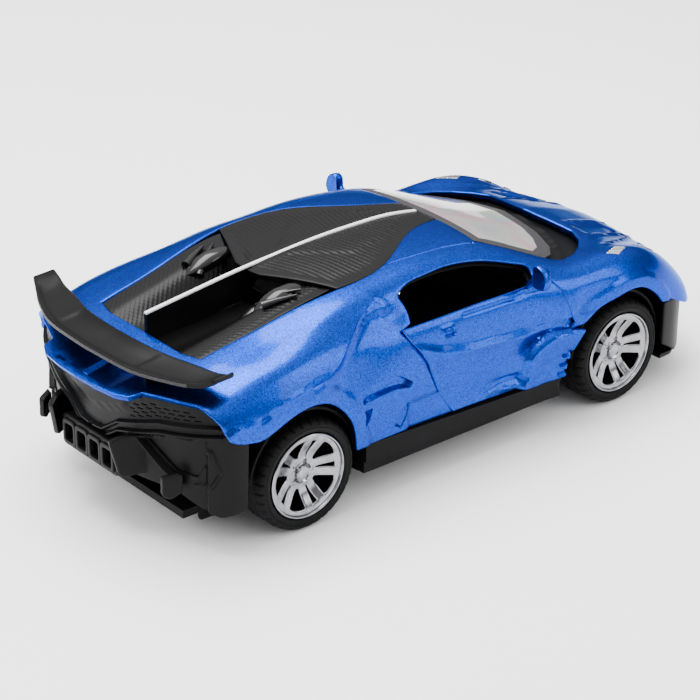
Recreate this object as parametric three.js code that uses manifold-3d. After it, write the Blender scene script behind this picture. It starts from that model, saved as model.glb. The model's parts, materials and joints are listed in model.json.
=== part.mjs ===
// Pull-back toy car in millimetres: a low sports coupe with opening doors, a wound
// spring motor on the rear axle and a screwed-on chassis.
// Frame: origin on the ground in the middle of the length, +X to the nose, +Y left, +Z up.
import * as THREE from 'three';
import { mergeVertices } from 'three/addons/utils/BufferGeometryUtils.js';
import Module from 'manifold-3d';

const wasm = await Module();
wasm.setup();

// ---------- driving dimensions ----------
const WHEELBASE = 84.7;
const REAR_X = -WHEELBASE / 2;
const FRONT_X = WHEELBASE / 2;
const TYRE_R = 11.6;
const TYRE_INNER_Y = 21.6;
const WHEEL_OUTER_Y = 30;
const RIM_R = 8.9;
const AXLE_R = 1.2;
const AXLE_Z = TYRE_R;
const WALL = 1.5;
const GAP = 0.3;
const DOOR_GAP = 0.35;
const HALF_LENGTH = 74.8;
const CHASSIS_BOTTOM = 6.2;
const CHASSIS_TOP = 7.9;

const PAINT = { color: 0x1c5fc4, roughness: 0.28, metalness: 0.55 };
const BLACK = { color: 0x1b1b1d, roughness: 0.55, metalness: 0.0 };
const SATIN = { color: 0x232325, roughness: 0.42, metalness: 0.0 };
const RUBBER = { color: 0x161617, roughness: 0.85, metalness: 0.0 };
const SILVER = { color: 0xc9cbce, roughness: 0.25, metalness: 0.9 };
const STEEL = { color: 0x8f9296, roughness: 0.35, metalness: 0.9 };
const NYLON = { color: 0xe6e2d6, roughness: 0.5, metalness: 0.0 };
const CLEAR = { color: 0xdfe6ea, roughness: 0.1, metalness: 0.0, transparent: true, opacity: 0.35 };
const LAMP = { color: 0x2a2c30, roughness: 0.15, metalness: 0.3 };

const car = new THREE.Group();

// ---------- solids ----------
function solidOf(geometry) {
  const bare = geometry.clone();
  bare.deleteAttribute('normal');
  bare.deleteAttribute('uv');
  const merged = mergeVertices(bare, 1e-4);
  const index = merged.index.array;
  return new wasm.Manifold(new wasm.Mesh({
    numProp: 3,
    vertProperties: new Float32Array(merged.attributes.position.array),
    triVerts: new Uint32Array(index),
  }));
}

function geometryOf(solid) {
  const mesh = solid.getMesh();
  const geometry = new THREE.BufferGeometry();
  geometry.setAttribute('position', new THREE.BufferAttribute(new Float32Array(mesh.vertProperties), 3));
  geometry.setIndex(new THREE.BufferAttribute(new Uint32Array(mesh.triVerts), 1));
  geometry.computeVertexNormals();
  return geometry;
}

function addPiece(name, shape, look, centre = null, turn = null) {
  const geometry = shape.isBufferGeometry ? shape : geometryOf(shape);
  const mesh = new THREE.Mesh(geometry, new THREE.MeshStandardMaterial(look));
  mesh.name = name;
  if (centre) mesh.position.set(...centre);
  if (turn) mesh.rotation.set(...turn);
  car.add(mesh);
  return mesh;
}

function outline(points) {
  return new THREE.Shape(points.map(([a, b]) => new THREE.Vector2(a, b)));
}

// A prism standing on the XY plane: points are [x, y].
function prismZ(points, low, high) {
  const geometry = new THREE.ExtrudeGeometry(outline(points), { depth: high - low, bevelEnabled: false });
  geometry.translate(0, 0, low);
  return solidOf(geometry);
}

// A prism along Y: points are [x, z].
function prismY(points, low, high) {
  const geometry = new THREE.ExtrudeGeometry(outline(points), { depth: high - low, bevelEnabled: false });
  geometry.rotateX(Math.PI / 2);
  geometry.translate(0, high, 0);
  return solidOf(geometry);
}

function block([x0, y0, z0], [x1, y1, z1]) {
  const geometry = new THREE.BoxGeometry(x1 - x0, y1 - y0, z1 - z0);
  geometry.translate((x0 + x1) / 2, (y0 + y1) / 2, (z0 + z1) / 2);
  return solidOf(geometry);
}

function rodY(x, z, radius, low, high, sides = 20) {
  const geometry = new THREE.CylinderGeometry(radius, radius, high - low, sides);
  geometry.translate(x, (low + high) / 2, z);
  return solidOf(geometry);
}

function rodZ(x, y, radius, low, high, sides = 16) {
  const geometry = new THREE.CylinderGeometry(radius, radius, high - low, sides);
  geometry.rotateX(Math.PI / 2);
  geometry.translate(x, y, (low + high) / 2);
  return solidOf(geometry);
}

function mirrored(solid) {
  return solid.mirror([0, 1, 0]);
}

function bothSides(solid) {
  return solid.add(mirrored(solid));
}

// ---------- body surface ----------
// Half sections from the sill to the centre line, each point [half width, height].
const SECTIONS = [
  [-76, [[23, 18], [24, 22], [25, 26], [25.3, 28.5], [24, 30.3],
    [20, 31.3], [14, 31.8], [7, 32.2], [0, 32.3]]],
  [-70, [[27, 14], [28, 20], [28.6, 25], [28.4, 28.6], [27, 30.9],
    [23.5, 32.1], [16, 32.7], [8, 33], [0, 33.1]]],
  [-62, [[30.4, 12], [31, 19], [31.2, 25], [30.7, 29.4], [29, 32.2],
    [25.5, 33.8], [18, 34.9], [8, 35.1], [0, 35.2]]],
  [-54, [[31.1, 12], [31.4, 18], [31.6, 24], [31.3, 29.4], [29.8, 33.3],
    [26.6, 35.6], [18.5, 36.9], [9, 37.2], [0, 37.4]]],
  [-46, [[31.1, 12], [31.5, 18], [31.7, 24], [31.4, 29.7], [30, 34.2],
    [27, 36.8], [18.5, 38.5], [9, 39.2], [0, 39.5]]],
  [-38, [[30.8, 12], [31.2, 18], [31.4, 24], [30.9, 30], [29.1, 35.4],
    [25.6, 38.5], [19.4, 40.4], [9.5, 41.2], [0, 41.6]]],
  [-28, [[30.1, 12], [30.4, 18], [30.5, 24], [29.9, 30], [28.2, 35.2],
    [24.9, 39.4], [21.2, 42], [11, 43.3], [0, 43.5]]],
  [-18, [[29.5, 12], [29.6, 18], [29.6, 24], [29.4, 29.5], [28.2, 34.4],
    [25.1, 38.8], [21.6, 42.5], [11.5, 44], [0, 44.1]]],
  [-8, [[29.3, 12], [29.2, 18], [29.1, 24], [29.4, 29.4], [28.4, 34.2],
    [25, 38.8], [21.6, 42.9], [11.5, 44.2], [0, 44.3]]],
  [2, [[29.2, 12], [29.1, 18], [29.1, 24], [29.5, 29.2], [28.5, 34],
    [25.3, 38.3], [21.5, 42.4], [11, 43.8], [0, 44]]],
  [12, [[29.3, 12], [29.3, 18], [29.4, 24], [29.9, 29], [28.9, 33.8],
    [25.8, 37.3], [21.2, 41], [11, 42.5], [0, 42.8]]],
  [20, [[29.6, 12], [29.8, 18], [30.1, 24], [30.3, 28.8], [29, 33.3],
    [26.4, 35.9], [22, 38.3], [11.5, 40.2], [0, 40.9]]],
  [28, [[30, 12], [30.5, 17.5], [30.9, 23.3], [31, 28.5], [29.6, 32.6],
    [27, 34.4], [22.5, 35.3], [12, 37.4], [0, 38.3]]],
  [36, [[30.4, 12], [30.9, 18], [31.4, 24], [31.3, 28.8], [29.8, 32.6],
    [26.5, 34.4], [20, 34], [10, 35.3], [0, 36.3]]],
  [44, [[30.4, 12], [31, 18], [31.4, 24], [31.2, 28.5], [29.6, 32.2],
    [26.2, 34.1], [19.5, 33.3], [9.5, 34.2], [0, 34.9]]],
  [52, [[30.1, 12], [30.6, 17], [30.8, 22], [30.2, 26.6], [28.2, 30.2],
    [24.8, 31.9], [18.5, 31.1], [9.5, 31.8], [0, 32.6]]],
  [60, [[28.8, 12], [29.2, 15.5], [29.1, 19], [28.2, 22.6], [26, 25.8],
    [22.5, 27.4], [17, 27.6], [9, 28.7], [0, 29.4]]],
  [67, [[26, 11.5], [26.2, 14], [25.8, 16.6], [24.6, 18.9], [22.4, 20.9],
    [19.6, 21.9], [15, 22.8], [8.5, 24], [0, 24.6]]],
  [72, [[22, 11], [22, 12.6], [21.5, 14.2], [20.4, 15.8], [18.6, 17.1],
    [16, 18], [12.5, 18.8], [7, 19.8], [0, 20.2]]],
  [76, [[18, 10], [18, 11], [17.5, 12], [16.5, 13], [14.8, 14],
    [12.8, 14.6], [10, 15.1], [5.5, 15.6], [0, 15.9]]],
];

// Natural cubic spline through (keys, values).
function spline(keys, values) {
  const n = keys.length;
  const bend = new Array(n).fill(0);
  const work = new Array(n).fill(0);
  for (let i = 1; i < n - 1; i += 1) {
    const left = keys[i] - keys[i - 1];
    const right = keys[i + 1] - keys[i];
    const share = left / (left + right);
    const pivot = share * bend[i - 1] + 2;
    const turn = (values[i + 1] - values[i]) / right - (values[i] - values[i - 1]) / left;
    bend[i] = (share - 1) / pivot;
    work[i] = (6 * turn / (left + right) - share * work[i - 1]) / pivot;
  }
  for (let i = n - 2; i >= 0; i -= 1) bend[i] = bend[i] * bend[i + 1] + work[i];
  bend[0] = 0;
  return (at) => {
    let i = 0;
    while (i < n - 2 && at > keys[i + 1]) i += 1;
    const step = keys[i + 1] - keys[i];
    const a = (keys[i + 1] - at) / step;
    const b = (at - keys[i]) / step;
    const cubic = ((a ** 3 - a) * bend[i] + (b ** 3 - b) * bend[i + 1]) * step * step / 6;
    return a * values[i] + b * values[i + 1] + cubic;
  };
}

const sectionKeys = SECTIONS.map(([x]) => x);
const railCount = SECTIONS[0][1].length;
const widthRails = [];
const heightRails = [];
for (let rail = 0; rail < railCount; rail += 1) {
  widthRails.push(spline(sectionKeys, SECTIONS.map(([, points]) => points[rail][0])));
  heightRails.push(spline(sectionKeys, SECTIONS.map(([, points]) => points[rail][1])));
}

// Points across the half section at x, moved inward by the depth.
function halfSection(x, depth, perSpan) {
  const rails = [...Array(railCount).keys()];
  const width = spline(rails, widthRails.map((rail) => rail(x)));
  const height = spline(rails, heightRails.map((rail) => rail(x)));
  const count = (railCount - 1) * perSpan;
  const points = [];
  for (let i = 0; i <= count; i += 1) {
    const v = i / perSpan;
    const step = 0.05;
    const low = Math.max(0, v - step);
    const high = Math.min(railCount - 1, v + step);
    const along = new THREE.Vector2(width(high) - width(low), height(high) - height(low)).normalize();
    const atCentre = i === count;
    const inwardY = atCentre ? 0 : -along.y;
    const inwardZ = atCentre ? -1 : along.x;
    points.push([width(v) + inwardY * depth, height(v) + inwardZ * depth]);
  }
  return points;
}

// Closed solid through flat rings of [x, y, z] points with equal counts, capped at both ends.
function loft(rings) {
  const size = rings[0].length;
  const faces = [];
  for (let i = 0; i < rings.length - 1; i += 1) {
    for (let j = 0; j < size; j += 1) {
      const a = i * size + j;
      const b = i * size + (j + 1) % size;
      faces.push([a, a + size, b + size], [a, b + size, b]);
    }
  }
  const lastStart = (rings.length - 1) * size;
  capFaces(rings[0]).forEach(([a, b, c]) => faces.push([a, b, c]));
  capFaces(rings.at(-1)).forEach(([a, b, c]) => faces.push([lastStart + a, lastStart + c, lastStart + b]));
  const geometry = new THREE.BufferGeometry();
  geometry.setAttribute('position', new THREE.Float32BufferAttribute(rings.flat(2), 3));
  geometry.setIndex(faces.flat());
  return solidOf(facingOut(geometry));
}

// Closed solid under the body surface, from low x to high x, down to the floor height.
function bodySolid(depth, lowX, highX, floor, stepX, perSpan) {
  const steps = Math.round((highX - lowX) / stepX);
  const rings = [];
  for (let i = 0; i <= steps; i += 1) {
    const x = lowX + (highX - lowX) * i / steps;
    const half = halfSection(x, depth, perSpan);
    const ring = [[x, -half[0][0], floor]];
    half.forEach(([s, z]) => ring.push([x, -s, z]));
    half.slice(0, -1).reverse().forEach(([s, z]) => ring.push([x, s, z]));
    ring.push([x, half[0][0], floor]);
    rings.push(ring);
  }
  return loft(rings);
}

// Triangles of a flat ring, each wound in the ring's own direction.
function capFaces(ring) {
  const acrossX = ring.every(([x]) => Math.abs(x - ring[0][0]) < 1e-6);
  const points = ring.map(([x, y, z]) => new THREE.Vector2(acrossX ? y : x, z));
  const sense = Math.sign(THREE.ShapeUtils.area(points));
  return THREE.ShapeUtils.triangulateShape(points, []).map(([a, b, c]) => {
    const same = Math.sign(THREE.ShapeUtils.area([points[a], points[b], points[c]])) === sense;
    return same ? [a, b, c] : [a, c, b];
  });
}

function signedVolume(geometry) {
  const place = geometry.attributes.position;
  const index = geometry.index.array;
  const corner = (i) => new THREE.Vector3().fromBufferAttribute(place, index[i]);
  let total = 0;
  for (let i = 0; i < index.length; i += 3) {
    total += corner(i).dot(corner(i + 1).cross(corner(i + 2))) / 6;
  }
  return total;
}

function facingOut(geometry) {
  const index = geometry.index.array;
  if (signedVolume(geometry) < 0) {
    for (let i = 0; i < index.length; i += 3) [index[i], index[i + 1]] = [index[i + 1], index[i]];
  }
  return geometry;
}

// Outline moved outward by the distance, keeping its corners.
const SHARPEST_MITRE = 0.4;
function grown(points, distance) {
  const sense = Math.sign(THREE.ShapeUtils.area(points.map(([a, b]) => new THREE.Vector2(a, b))));
  const corners = [];
  points.forEach((point, i) => {
    const here = new THREE.Vector2(...point);
    const before = new THREE.Vector2(...points.at(i - 1));
    const after = new THREE.Vector2(...points[(i + 1) % points.length]);
    const inDirection = here.clone().sub(before).normalize();
    const outDirection = after.sub(here).normalize();
    const inNormal = new THREE.Vector2(inDirection.y, -inDirection.x).multiplyScalar(sense);
    const outNormal = new THREE.Vector2(outDirection.y, -outDirection.x).multiplyScalar(sense);
    const middle = inNormal.clone().add(outNormal).normalize();
    const reach = distance / Math.max(middle.dot(inNormal), SHARPEST_MITRE);
    corners.push([here.x + middle.x * reach, here.y + middle.y * reach]);
  });
  return corners;
}

// A plan outline given as the right half, points [x, half width], made whole.
function wholePlan(half) {
  const right = half.map(([x, s]) => [x, -s]);
  const left = half.filter(([, s]) => s > 0).map(([x, s]) => [x, s]).reverse();
  return right.concat(left);
}

// ---------- outlines ----------
const BODY_PLAN = [
  [-HALF_LENGTH, 0], [-74.4, 6], [-73.6, 11.4], [-72.3, 14.1], [-69.7, 14.9], [-66.6, 23], [-64.4, 27],
  [-62.9, 30], [-60.5, 32.5], [57, 32.5], [59.5, 30], [64, 27], [68.5, 22.5], [71, 18], [73.2, 12],
  [74.4, 6], [HALF_LENGTH, 0],
];
const FASCIA_PLAN = [
  [-71, 0], [-70.4, 8], [-69.6, 13], [-68, 18], [-66, 23], [-63, 27.6], [-60.5, 30.2], [-57, 31.2],
  [-40, 32], [-40, 0],
];
const REAR_ARCH = [
  [-55.2, 10], [-54.9, 20], [-54.1, 24.7], [-51.9, 25.5], [-48.9, 26.7], [-45.1, 27.7], [-40.9, 27.6],
  [-36.7, 25.8], [-33.9, 23.2], [-31.9, 19.8], [-31, 16.2], [-30.7, 10],
];
const FRONT_ARCH = [
  [24.6, 6], [24.6, 20], [29.6, 22.9], [33.6, 24.9], [37.7, 26.2], [42.2, 27],
  [46.8, 26.4], [50.1, 24.5], [52.5, 22.4], [54.4, 19], [55.2, 14], [55.2, 6],
];
// Where the painted shell ends above the black lower pieces, tail to nose.
const PAINT_EDGE = [
  [-80, 30.3], [-69.7, 31], [-65.5, 31], [-63.4, 29.4], [-61.8, 26.6],
  [-58.9, 25.2], [-54, 24.7], [-50, 14.5],
  [-30.7, 13.8], [-4.4, 12.7], [25.6, 11.5], [50, 11.5], [53.5, 20.6], [57.8, 19.8], [66, 15.6], [80, 12.4],
];
const DOOR = [
  [-17.4, 34.4], [-16, 31.9], [-12, 26.2], [-9, 19.3], [-4.4, 12.7],
  [25.7, 11.5], [26.6, 16.7], [29.4, 21.9],
  [26.2, 22.6], [27.2, 23.8], [26.1, 26.4], [24.2, 31.4], [21.8, 34.4],
];
const SIDE_WINDOW = [
  [-14.6, 34], [-14.9, 39.1], [-16.2, 40.7], [-13.3, 41.1], [-8.9, 41.9],
  [-2.4, 42.1], [3, 41.6], [8.2, 40.6],
  [13.5, 39], [16.6, 38], [18.8, 36.8], [17.7, 34],
];
const INSERT_PLAN = [
  [-58.6, 0], [-58.6, 12], [-57.5, 16.6], [-46.8, 17.3], [-36, 18.3],
  [-27.4, 19.3], [-18.6, 19.2], [-13.3, 17.8],
  [-4.4, 12.4], [2.7, 8.3], [11.2, 5.9], [11.2, 0],
];
const SCREEN_PLAN = [
  [10.9, 0], [10.9, 10], [10.3, 18], [14, 19.9], [20, 21.8],
  [26.2, 23.4], [29.9, 23.9], [38.7, 20], [43.8, 14],
  [42.9, 8], [42.2, 4], [40.5, 0],
];
const GLASS_PLAN = [
  [11.3, 0], [11.3, 10], [10.8, 17.7], [14, 19.5], [20, 21.4], [25.8, 22.9],
  [27.6, 22], [31.5, 17], [34, 10], [35, 0],
];
const LAMP_PLAN = [
  [48.6, 24.6], [52, 22.6], [57, 20.2], [63, 18], [68.4, 15.8],
  [67.6, 19], [63.5, 22.2], [57, 24.6], [52, 25.4],
];
const LOUVRE_PLAN = [[39.6, 26.9], [44.6, 24.4], [47, 26], [42.2, 28.3]];
const TRAY_PLAN = [
  [33, 0], [32.5, 9], [30, 16], [26.5, 21.5], [27.5, 25.3], [31, 25.3], [40, 21], [45.5, 14.5], [44.5, 0],
];
const rightSide = (points) => points.map(([x, s]) => [x, -s]);

const DOOR_SKIN = 1.2;
const LOFT_ENDS = [-76, 76];
const LOFT_STEP = 6.08;
const BODY_FLOOR = 5.2;
// Heights and a width that lie clear of the whole car, for prisms that cut right through it.
const BELOW = -30;
const ABOVE = 60;
const PAST_SIDE = 50;
const HOLLOW_BOTTOM = -20;

const wholeBody = bodySolid(0, ...LOFT_ENDS, BODY_FLOOR, LOFT_STEP, 1);
const hollowBody = bodySolid(WALL, ...LOFT_ENDS, HOLLOW_BOTTOM, LOFT_STEP, 1);
const doorHollow = bodySolid(DOOR_SKIN, -32, 36, HOLLOW_BOTTOM, LOFT_STEP, 1);
const plan = prismZ(wholePlan(BODY_PLAN), BELOW, ABOVE);
const planInside = prismZ(grown(wholePlan(BODY_PLAN), -WALL), BELOW - 1, ABOVE + 1);
const fasciaPlan = prismZ(wholePlan(FASCIA_PLAN), BELOW, ABOVE);
const fasciaInside = prismZ(wholePlan(FASCIA_PLAN).map(([x, y]) => [x + WALL, y]), BELOW - 1, ABOVE + 1);
const skin = wholeBody.intersect(plan).subtract(hollowBody.intersect(planInside));

const acrossCar = (points) => prismY(points, -PAST_SIDE, PAST_SIDE);
const underPaint = acrossCar(PAINT_EDGE.concat([[80, BELOW], [-80, BELOW]]));
const archPair = acrossCar(REAR_ARCH.concat([[-30.7, BELOW], [-55.2, BELOW]]))
  .add(acrossCar(FRONT_ARCH.concat([[55.2, BELOW], [25.6, BELOW]])));

// ---------- doors ----------
const HINGE_X = 31.5;
const HINGE_Y = -27;
const HINGE_PIN_R = 0.5;
const HINGE_BORE_R = 0.8;
const KNUCKLE_R = 1.35;
const ARM_LOW = 26.5;
const ARM_HIGH = 28.5;
const LUG_HEIGHTS = [[24.3, 26.1], [28.9, 30.9]];
const DOOR_EDGE_SLANT = 0.85;
const DOOR_OUTER_Y = 31;
const DOOR_DEEPEST = 20;
const ARM_HALF = 0.6;
// The hinge arm bends inboard round the wing's edge: points from the pivot to the door's back.
const ARM = [[0, 0], [-4.7, 4.7], [-7.6, 3.6], [-9.8, 1.6], [-10.2, -2.5]];

function doorRight() {
  const edge = grown(DOOR, -DOOR_GAP / 2);
  const straight = prismY(edge, -PAST_SIDE, -DOOR_DEEPEST);
  const depth = PAST_SIDE - DOOR_DEEPEST;
  const slanted = new THREE.ExtrudeGeometry(outline(edge), { depth, bevelEnabled: false });
  slanted.rotateX(Math.PI / 2);
  slanted.translate(0, -DOOR_DEEPEST, 0);
  const shear = new THREE.Matrix4().makeShear(0, 0, -DOOR_EDGE_SLANT, 0, 0, 0);
  const offset = new THREE.Matrix4().makeTranslation(-DOOR_OUTER_Y * DOOR_EDGE_SLANT, 0, 0);
  slanted.applyMatrix4(offset.multiply(shear));
  const slantedSolid = solidOf(facingOut(mergeVertices(stripped(slanted))));
  const rearHalf = block([-40, -PAST_SIDE, 0], [10, -10, ABOVE]);
  const keep = straight.intersect(slantedSolid.add(rearHalf));
  const panel = wholeBody.subtract(doorHollow).intersect(keep);
  let hinge = rodZ(HINGE_X, HINGE_Y, KNUCKLE_R, ARM_LOW, ARM_HIGH);
  ARM.slice(1).forEach(([x, y], i) => {
    const from = [HINGE_X + ARM[i][0], HINGE_Y + ARM[i][1]];
    hinge = hinge.add(barZ(from, [HINGE_X + x, HINGE_Y + y], ARM_HALF, ARM_LOW, ARM_HIGH));
  });
  hinge = hinge.subtract(rodZ(HINGE_X, HINGE_Y, HINGE_BORE_R, ARM_LOW - 1, ARM_HIGH + 1));
  return panel.add(hinge);
}

// A bar seen from above from one point to another, square ended past both by its half width.
function barZ([x0, y0], [x1, y1], halfWidth, low, high) {
  const along = new THREE.Vector2(x1 - x0, y1 - y0).normalize().multiplyScalar(halfWidth);
  const side = new THREE.Vector2(-along.y, along.x);
  return prismZ([
    [x0 - along.x - side.x, y0 - along.y - side.y],
    [x1 + along.x - side.x, y1 + along.y - side.y],
    [x1 + along.x + side.x, y1 + along.y + side.y],
    [x0 - along.x + side.x, y0 - along.y + side.y],
  ], low, high);
}

const door = doorRight();
addPiece('door_right', door, PAINT);
addPiece('door_left', mirrored(door), PAINT);

const pin = rodZ(HINGE_X, HINGE_Y, HINGE_PIN_R, LUG_HEIGHTS[0][0] + 0.2, LUG_HEIGHTS[1][1] - 0.2, 12);
addPiece('door_hinge_pin_right', pin, STEEL);
addPiece('door_hinge_pin_left', mirrored(pin), STEEL);

// ---------- painted shell ----------
// Heights under which the plan cuts above must not reach.
const INSERT_LOW = 30;
const SCREEN_LOW = 31;
const LAMP_LOW = 10;
const LOUVRE_LOW = 28.5;
const SCREW_SPOTS = [[-60.5, 12], [57.5, 12]];
const BOSS_LOW = 8.3;
const SCREW_REACH = 15;
const BOSS_R = 2.3;
const SCREW_R = 0.9;
const SCREW_BORE_R = 1.25;

function bodyShell() {
  let shell = skin.subtract(underPaint).subtract(archPair);
  shell = shell.subtract(acrossCar(grown(DOOR, DOOR_GAP / 2)));
  shell = shell.subtract(acrossCar(SIDE_WINDOW));
  shell = shell.subtract(prismZ(wholePlan(INSERT_PLAN), INSERT_LOW, ABOVE));
  shell = shell.subtract(prismZ(wholePlan(SCREEN_PLAN), SCREEN_LOW, ABOVE));
  shell = shell.subtract(bothSides(prismZ(rightSide(LAMP_PLAN), LAMP_LOW, ABOVE)));
  shell = shell.subtract(bothSides(prismZ(rightSide(LOUVRE_PLAN), LOUVRE_LOW, ABOVE)));
  let lugs = null;
  LUG_HEIGHTS.forEach(([low, high]) => {
    const inner = HINGE_Y + KNUCKLE_R + 0.15;
    const whole = block([HINGE_X - 1.5, -DOOR_OUTER_Y, low], [HINGE_X + 1.5, inner, high]);
    const lug = whole.intersect(wholeBody);
    lugs = lugs ? lugs.add(lug) : lug;
  });
  lugs = lugs.subtract(rodZ(HINGE_X, HINGE_Y, HINGE_BORE_R, 0, ABOVE));
  shell = shell.add(bothSides(lugs));
  SCREW_SPOTS.forEach(([x, y]) => {
    const boss = rodZ(x, -y, BOSS_R, BOSS_LOW, ABOVE).intersect(wholeBody);
    const bore = rodZ(x, -y, SCREW_BORE_R, BOSS_LOW - 0.3, SCREW_REACH);
    shell = shell.add(bothSides(boss.subtract(bore)));
  });
  return shell;
}
const shell = bodyShell();
addPiece('body_shell', shell, PAINT);

// ---------- pieces set into the painted shell ----------
function inlay(points, low) {
  return skin.intersect(prismZ(grown(points, -GAP), low, ABOVE));
}

const lampRight = inlay(rightSide(LAMP_PLAN), LAMP_LOW);
addPiece('headlight_right', lampRight, LAMP);
addPiece('headlight_left', mirrored(lampRight), LAMP);
const louvreRight = inlay(rightSide(LOUVRE_PLAN), LOUVRE_LOW);
addPiece('fender_louvre_right', louvreRight, SILVER);
addPiece('fender_louvre_left', mirrored(louvreRight), SILVER);

// The clear windscreen, flush with the paint, and the black scuttle tray in front of it.
addPiece('windscreen', skin.intersect(prismZ(wholePlan(GLASS_PLAN), SCREEN_LOW + 0.5, ABOVE)), CLEAR);
const TRAY_DEPTH = 2;
const TRAY_WALL = 1.1;
const trayTop = bodySolid(TRAY_DEPTH, 20, 56, 10, 4, 1);
const trayUnder = bodySolid(TRAY_DEPTH + TRAY_WALL, 19, 57, HOLLOW_BOTTOM, 4, 1);
const tray = trayTop.subtract(trayUnder).intersect(prismZ(wholePlan(TRAY_PLAN), 26, ABOVE));
addPiece('cowl_tray', tray, BLACK);

// Roof moulding: roof skin with the fin running back along the centre line.
const ROOF_REAR = [[-34, 0], [-33.4, 4], [-26.2, 18.9]];
const FIN_TOP = [
  [10.8, 43.1], [3.7, 44.3], [-6.5, 44.7], [-16.5, 44.5], [-26.3, 43.8],
  [-35.8, 43], [-45.1, 41.9], [-58, 40.3],
];
const FIN_FOOT = [[-58, 34.6], [-44, 35.6], [-34, 36.4], [-30, 41.6], [10.8, 41.6]];
const FIN_HALF = 0.55;
const DECK_FLOOR = [[-58.3, 34.2], [-44, 35.2], [-30, 36.4]];
const insertInside = prismZ(grown(wholePlan(INSERT_PLAN), -GAP), INSERT_LOW, ABOVE);
const roofZone = prismZ(wholePlan(ROOF_REAR.concat([[-20, 25], [20, 25], [20, 0]])), INSERT_LOW, ABOVE);
const fin = prismY(FIN_TOP.concat(FIN_FOOT), -FIN_HALF, FIN_HALF);
addPiece('roof_moulding', skin.intersect(insertInside).intersect(roofZone).add(fin), SATIN);

// Engine cover: sunk floor under the fin with a curved scoop wall along each side.
const COVER_STATIONS = [-58.2, -52, -46, -40, -34, -28];
const COVER_WALL = 1.1;
const COVER_TAIL_X = -50;
const RIM_RAIL = 6;
function engineCover() {
  const floorAt = spline(DECK_FLOOR.map(([x]) => x), DECK_FLOOR.map(([, z]) => z));
  const rings = COVER_STATIONS.map((x) => {
    const rim = halfSection(x, GAP, 1)[RIM_RAIL][1];
    const edge = x < COVER_TAIL_X ? 15.8 : 16.6;
    const floor = floorAt(x);
    const top = [[edge, rim], [edge - 3.4, rim - 0.4], [8.4, floor + 1], [2, floor]];
    const upper = top.map(([s, z]) => [x, -s, z]).concat([...top].reverse().map(([s, z]) => [x, s, z]));
    const lower = [...upper].reverse().map(([, y, z]) => [x, y, z - COVER_WALL]);
    return upper.concat(lower);
  });
  return loft(rings);
}
const ROOF_UNDERSIDE = 38.5;
const roofFoot = [[-34.4, 0], [-33.8, 4.2], [-26.6, 19.3], [20, 25], [20, 0]];
const roofClear = prismZ(wholePlan(roofFoot), ROOF_UNDERSIDE, ABOVE);
const cover = engineCover().intersect(insertInside).subtract(roofClear);
addPiece('engine_cover', cover, SATIN);

// ---------- black outer mouldings ----------
// The diffuser's fins from the side, and the flat pan between them from above.
const BIG_FIN = [
  [-66.5, 23], [-72.2, 22.6], [-74.2, 21.4], [-73.6, 13.8], [-67, 10.5], [-60, 8.4], [-60, 10], [-66.5, 15],
];
const SMALL_FIN = [[-66.4, 20], [-69.4, 17.8], [-69.7, 12.2], [-62, 8.4], [-60, 10], [-66.4, 16]];
const BUMPER_PAN = [[-59.4, 0], [-59.4, 24.5], [-66.2, 22], [-69.3, 12], [-69.3, 0]];
function rearBumper() {
  const wrap = wholeBody.intersect(fasciaPlan).subtract(hollowBody.intersect(fasciaInside));
  const under = PAINT_EDGE.slice(0, 7).map(([x, z]) => [x, z - GAP]);
  const zone = acrossCar([[-80, 8.2], ...under, [-54.6, 20], [-55.4, 10], [-56.4, 7], [-80, 5]]);
  let bumper = wrap.intersect(zone);
  bumper = bumper.subtract(block([-80, -9.2, 13], [-66, 9.2, 19.6]));
  bumper = bumper.subtract(block([-80, -24, 0], [-64, 24, 12.6]));
  const bigFin = prismY(BIG_FIN, -14.4, -13);
  const smallFin = prismY(SMALL_FIN, -24, -22.8);
  bumper = bumper.add(bothSides(bigFin)).add(bothSides(smallFin));
  const panBottom = prismZ(wholePlan(BUMPER_PAN), 12.6, 14);
  bumper = bumper.add(panBottom.subtract(block([-80, -9.2, 12], [-63.6, 9.2, 15])));
  const [bossX, bossY] = SCREW_SPOTS[0];
  return bumper.subtract(bothSides(rodZ(bossX, -bossY, BOSS_R + GAP, 0, ABOVE)));
}
addPiece('rear_bumper', rearBumper(), BLACK);

// Four square outlets in a row.
const OUTLET_PITCH = 4.3;
const OUTLET_HALF = 1.6;
function exhaust() {
  let body = block([-72.9, -8.8, 13.4], [-64, 8.8, 19.3]);
  [-1.5, -0.5, 0.5, 1.5].forEach((place) => {
    const y = place * OUTLET_PITCH;
    body = body.subtract(block([-74, y - OUTLET_HALF, 14.3], [-67, y + OUTLET_HALF, 18.4]));
  });
  return body;
}
addPiece('exhaust_outlets', exhaust(), BLACK);

// Rear wing: a bowed blade on two struts. Each station: y, front x, rear x, front z, rear z.
const WING = [
  [0, -64.3, -72.4, 38.6, 38], [8, -64, -72, 38.6, 37.9], [15, -62.4, -70.8, 38, 37.6],
  [21, -60.8, -68.6, 37.9, 37.6], [26.4, -59.6, -66, 38, 37.8], [28.6, -59.2, -64.9, 38.7, 38.5],
  [29.8, -59.4, -64.4, 39.6, 39.3],
];
const WING_THICK = 1.1;
const WING_CROWN = 0.35;
function rearWing() {
  const half = WING.map(([s, lead, trail, leadZ, trailZ]) => (side) => [
    [lead, side * s, leadZ],
    [(lead + trail) / 2, side * s, (leadZ + trailZ) / 2 + WING_CROWN],
    [trail, side * s, trailZ],
    [trail, side * s, trailZ - WING_THICK],
    [lead, side * s, leadZ - WING_THICK],
  ]);
  const rings = [...half].reverse().map((ring) => ring(-1)).concat(half.slice(1).map((ring) => ring(1)));
  const strut = prismY([[-68, 33.2], [-64.4, 33.9], [-63.6, 37.4], [-69, 37.2]], -14.8, -13.6);
  return loft(rings).add(bothSides(strut));
}
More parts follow.
